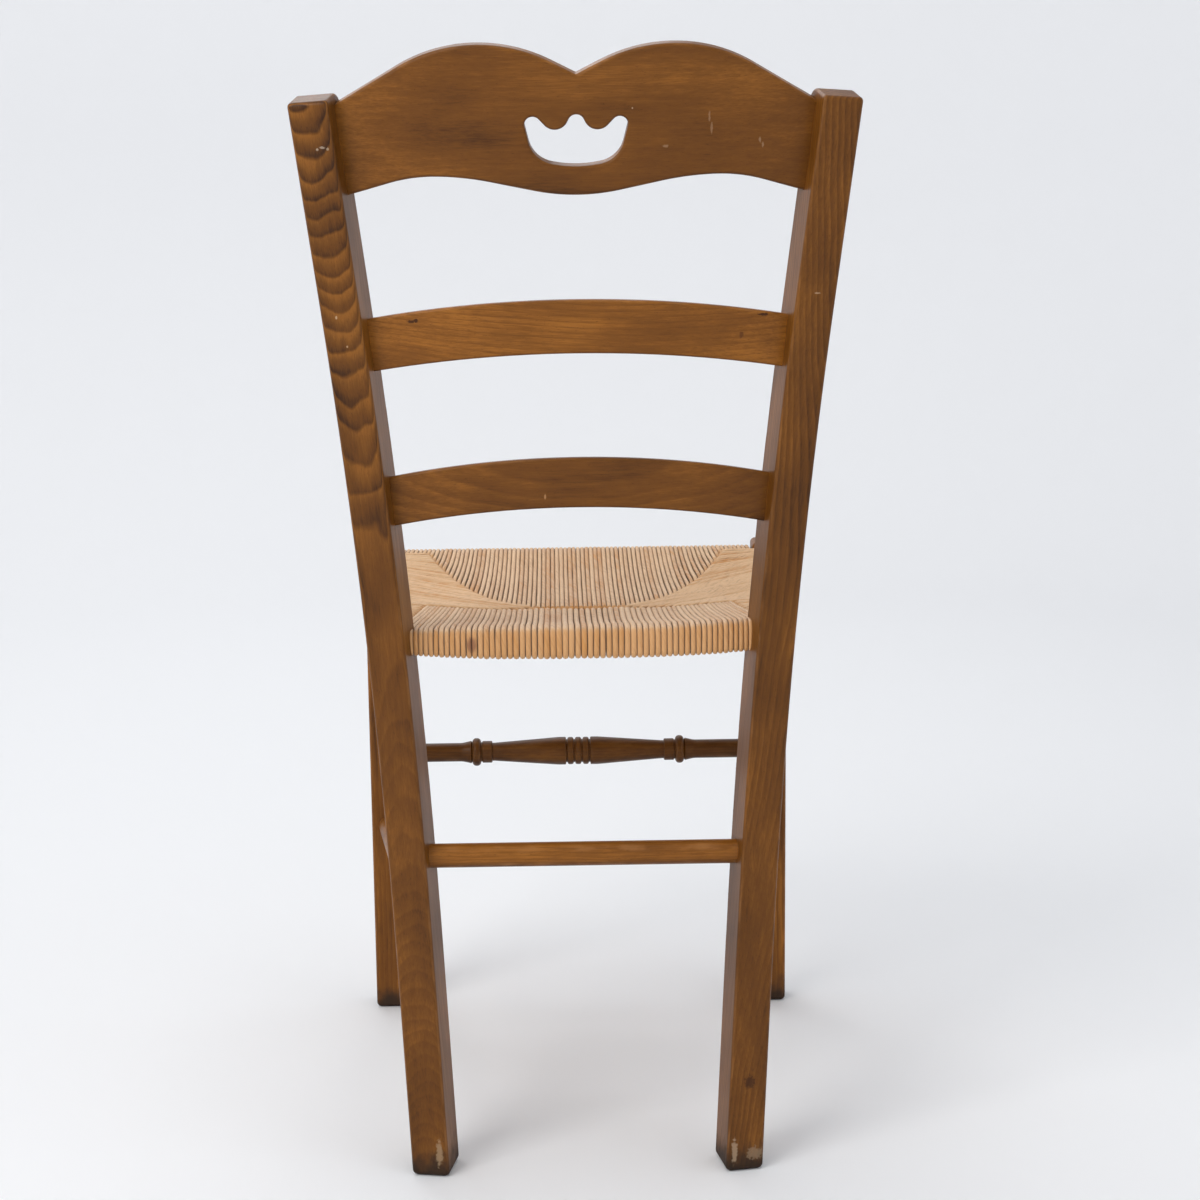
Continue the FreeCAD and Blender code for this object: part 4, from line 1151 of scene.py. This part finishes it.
    def side_courses(self, side: int) -> list[list[Vector]]:
        """Courses over one side rail.

        Args:
            side: 1 for the left rail, -1 for the right.

        Returns:
            The courses from front to rear.
        """
        courses = []
        count = self.side_front_count + self.side_rear_count
        way = Vector((1.0, self.side_rail_splay, 0)).normalized()
        knee = self.rear_reach - self.rear_lean
        beside_post = [(self.rear_reach, self.rear_rail_y - self.rail_half), (knee, self.rear_mitre(knee))]
        beside_leg = [(self.front_corner, self.front_mitre(self.front_corner))]
        ends = self._ends(self.front_mitre, beside_leg, self.side_front_count)
        ends += reversed(self._ends(self.rear_mitre, beside_post, self.side_rear_count))
        for number, end in enumerate(ends):
            y = self.side_front_y + (self.side_rear_y - self.side_front_y) * number / (count - 1)
            x = self.side_x(y)
            bend = Vector((end.x + 0.4 * (x - end.x), y + 0.6 * (end.y - y), 0))
            course = self.path(Vector((x, y, 0)), way, bend, end)
            courses.append([Vector((side * point.x, point.y, point.z)) for point in course])
        return courses

    def _width(self, name: str, course: list[Vector]) -> float:
        """How much wider than the plain cord a course is, so that it meets its neighbours.

        Args:
            name: The panel's object name.
            course: The course's points.

        Returns:
            The width as a share of the plain cord's.
        """
        if name.endswith(("left", "right")):
            return self.side_width
        if name.endswith("front"):
            return 1.0
        edge = abs(course[self.under_points + 1].x) / self.rear_reach
        pitch = 2 * self.rear_reach / self.rear_count
        return pitch * (1 + self.rear_crowding * (1 - 3 * edge ** 2)) / (2 * self.cord)

    def _guides(self, name: str, courses: list[list[Vector]], spread: float,
                row: float) -> bpy.types.Object:
        """An object whose mesh is the courses as chains of edges.

        Args:
            name: The object's name.
            courses: The courses' points.
            spread: How much thicker the cord lies on its rail.
            row: 0 where the courses lie side by side along X, 1 where along Y.

        Returns:
            The object.
        """
        points, edges, numbers, thickness, rows = [], [], [], [], []
        middle = self.under_points + 1 + self.wrap_points / 2
        reach = self.wrap_points * 0.75
        for number, course in enumerate(courses):
            first = len(points)
            points.extend(course)
            edges.extend((first + step, first + step + 1) for step in range(len(course) - 1))
            numbers.extend([float(number)] * len(course))
            rows.extend([row] * len(course))
            width = self._width(name, course)
            for step in range(len(course)):
                near = max(0.0, 1 - (abs(step - middle) / reach) ** 2)
                thickness.append(width * (1 + spread * near))
        mesh = bpy.data.meshes.new(name)
        mesh.from_pydata(points, edges, [])
        for label, values in (("cord_number", numbers), ("cord_thickness", thickness), ("cord_row", rows)):
            layer = mesh.attributes.new(label, "FLOAT", "POINT")
            layer.data.foreach_set("value", values)
        return add_object(name, mesh)

    def _stuffing(self) -> bpy.types.Object:
        """Straw between the layers, dished as the cords above it are.

        Returns:
            The straw's object.
        """
        inset = self.rail_half + self.straw_gap
        rows = columns = self.straw_cells
        depth = self.rear_rail_y - self.front_rail_y - 2 * inset
        top, bottom = [], []
        for row in range(rows + 1):
            y = self.front_rail_y + inset + depth * row / rows
            half = self.side_x(y) - inset - (self.straw_corner if row in (0, rows) else 0.0)
            for column in range(columns + 1):
                x = half * (2 * column / columns - 1)
                low = self.rail_bottom + self._under_rise(x, y)
                high = max(low + self.straw_least, self.height(x, y) - 2 * self.cord)
                top.append((x, y, high))
                bottom.append((x, y, low))
        across = columns + 1
        total = len(top)
        faces = []
        for row in range(rows):
            for column in range(columns):
                corner = row * across + column
                quad = (corner, corner + 1, corner + 1 + across, corner + across)
                faces.append(quad)
                faces.append(tuple(total + index for index in reversed(quad)))
        rim = [*range(across), *(row * across + columns for row in range(1, rows + 1)),
               *(rows * across + column for column in range(columns - 1, -1, -1)),
               *(row * across for row in range(rows - 1, 0, -1))]
        for index, here in enumerate(rim):
            after = rim[(index + 1) % len(rim)]
            faces.append((after, here, total + here, total + after))
        mesh = bpy.data.meshes.new("seat_straw")
        mesh.from_pydata(top + bottom, [], faces)
        mesh.shade_smooth()
        mesh.materials.append(StrawFinish().make())
        return add_object("seat_straw", mesh)

    def build(self) -> None:
        """Wind the four panels, pack the straw and put both in place of the plain solids."""
        tree = CordTree()
        finish = RushFinish().make()
        panels = {
            "rear": (self.rear_courses(), 0.02, 0.0),
            "front": (self.front_courses(), 0.0, 0.0),
            "left": (self.side_courses(1), 0.05, 1.0),
            "right": (self.side_courses(-1), 0.05, 1.0),
        }
        for seed, (place, (courses, spread, row)) in enumerate(panels.items(), start=5):
            guides = self._guides(f"rush_cords_{place}", courses, spread, row)
            cords = tree.apply(guides, Seed=seed, Finish=finish)
            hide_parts(f"rush_panel_{place}")
            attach(cords, BODY)
            LOG.info("%s has %d cords, %d faces", cords.name, len(courses), len(cords.data.polygons))
        straw = self._stuffing()
        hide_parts("seat_stuffing")
        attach(straw, BODY)
        LOG.info("%s has %d faces", straw.name, len(straw.data.polygons))


@dataclass(frozen=True)
class Softbox:
    """A square area light."""

    name: str
    place: tuple[float, float, float]
    side: float
    watts: float
    colour: tuple[float, float, float]

    def hang(self, target: tuple[float, float, float]) -> None:
        """Hang the light in its place, aimed at a target.

        Args:
            target: What it is aimed at.
        """
        data = bpy.data.lights.new(self.name, "AREA")
        data.size = self.side
        data.energy = self.watts
        data.color = self.colour
        lamp = add_object(self.name, data)
        lamp.location = self.place
        aim = Vector(target) - Vector(self.place)
        lamp.rotation_euler = aim.to_track_quat("-Z", "Y").to_euler()


@dataclass
class Studio:
    """A pale floor that sweeps up all round, soft lights and the camera."""

    floor_radius: float = 3.1
    sweep: float = 0.8
    sweep_steps: int = 12
    turns: int = 96
    wall_top: float = 3.2
    lit_point: tuple[float, float, float] = (0.0, 0.0, 0.5)
    sky_strength: float = 0.32
    focal_length: float = 75.72
    sensor_width: float = 36.0
    far_limit: float = 50.0
    camera_place: tuple[float, float, float] = (0.0221, 2.1538, 0.8822)
    pitch: float = 11.35
    yaw: float = -1.08
    roll: float = -0.60

    PALE = (0.90, 0.905, 0.92, 1.0)
    SKY = (0.93, 0.96, 1.0, 1.0)
    LIGHTS = (
        Softbox("key", (1.7, 1.9, 2.3), 1.5, 36.0, (1.0, 0.98, 0.95)),
        Softbox("fill", (-2.0, 1.2, 1.6), 1.8, 4.0, (0.95, 0.98, 1.0)),
        Softbox("front", (0.6, -2.2, 2.6), 2.0, 22.0, (1.0, 1.0, 1.0)),
        Softbox("top", (0.0, 0.2, 3.0), 2.4, 20.0, (0.97, 0.99, 1.0)),
    )

    def _profile(self) -> list[tuple[float, float]]:
        """Radius and level along the floor, round the sweep and up the wall.

        Returns:
            The points from the middle outwards.
        """
        flat = self.floor_radius - self.sweep
        profile = [(0.0, 0.0), (flat, 0.0)]
        for step in range(1, self.sweep_steps + 1):
            angle = math.pi / 2 * step / self.sweep_steps
            profile.append((flat + self.sweep * math.sin(angle), self.sweep * (1 - math.cos(angle))))
        profile.append((self.floor_radius, self.wall_top))
        return profile

    def _backdrop(self) -> None:
        """The profile turned into a round floor and wall, open at the top."""
        profile = self._profile()
        turns = self.turns
        points = [(0.0, 0.0, 0.0)]
        for radius, level in profile[1:]:
            for turn in range(turns):
                angle = 2 * math.pi * turn / turns
                points.append((radius * math.cos(angle), radius * math.sin(angle), level))
        faces = [(0, 1 + turn, 1 + (turn + 1) % turns) for turn in range(turns)]
        for ring in range(len(profile) - 2):
            first = 1 + ring * turns
            for turn in range(turns):
                after = (turn + 1) % turns
                faces.append((first + turn, first + turns + turn, first + turns + after, first + after))
        mesh = bpy.data.meshes.new("backdrop")
        mesh.from_pydata(points, [], faces)
        mesh.shade_smooth()
        backdrop = add_object("backdrop", mesh)
        material, graph = start_material("pale_backdrop")
        graph.surface({"Base Color": self.PALE, "Roughness": 0.85, "Specular IOR Level": 0.2})
        mesh.materials.append(material)

    def _sky(self) -> None:
        """Even light from all round."""
        world = bpy.data.worlds.new("sky")
        world.use_nodes = True
        graph = Graph(world.node_tree)
        shader = graph.add("ShaderNodeBackground", {"Color": self.SKY, "Strength": self.sky_strength})
        graph.node("ShaderNodeOutputWorld", {"Surface": shader})
        bpy.context.scene.world = world

    def _camera(self) -> None:
        """The camera at the photograph's place and angle."""
        data = bpy.data.cameras.new("camera")
        data.lens = self.focal_length
        data.sensor_width = self.sensor_width
        data.clip_end = self.far_limit
        camera = add_object("camera", data)
        pitch, yaw, roll = (math.radians(value) for value in (self.pitch, self.yaw, self.roll))
        ahead = Vector((math.sin(yaw) * math.cos(pitch), -math.cos(yaw) * math.cos(pitch), -math.sin(pitch)))
        right = Vector((-math.cos(yaw), -math.sin(yaw), 0.0))
        upward = right.cross(ahead)
        rolled_right = right * math.cos(roll) + upward * math.sin(roll)
        rolled_up = upward * math.cos(roll) - right * math.sin(roll)
        axes = Matrix((rolled_right, rolled_up, -ahead)).transposed()
        camera.matrix_world = Matrix.Translation(self.camera_place) @ axes.to_4x4()
        bpy.context.scene.camera = camera

    def build(self) -> None:
        """Make the backdrop, the lights, the sky and the camera."""
        self._backdrop()
        for light in self.LIGHTS:
            light.hang(self.lit_point)
        self._sky()
        view = bpy.context.scene.view_settings
        view.view_transform = "Standard"
        view.look = "None"
        self._camera()


def main() -> None:
    """Dress the woodwork, wind the seat and set up the studio."""
    logging.basicConfig(level=logging.INFO, format="%(name)s: %(message)s", stream=sys.stdout)
    Studio().build()
    Uprights().dress()
    BackRails().dress()
    Stretchers().dress()
    dress("cord_tacks", TackFinish().make())
    RushSeat().build()


if __name__ == "__main__":
    main()
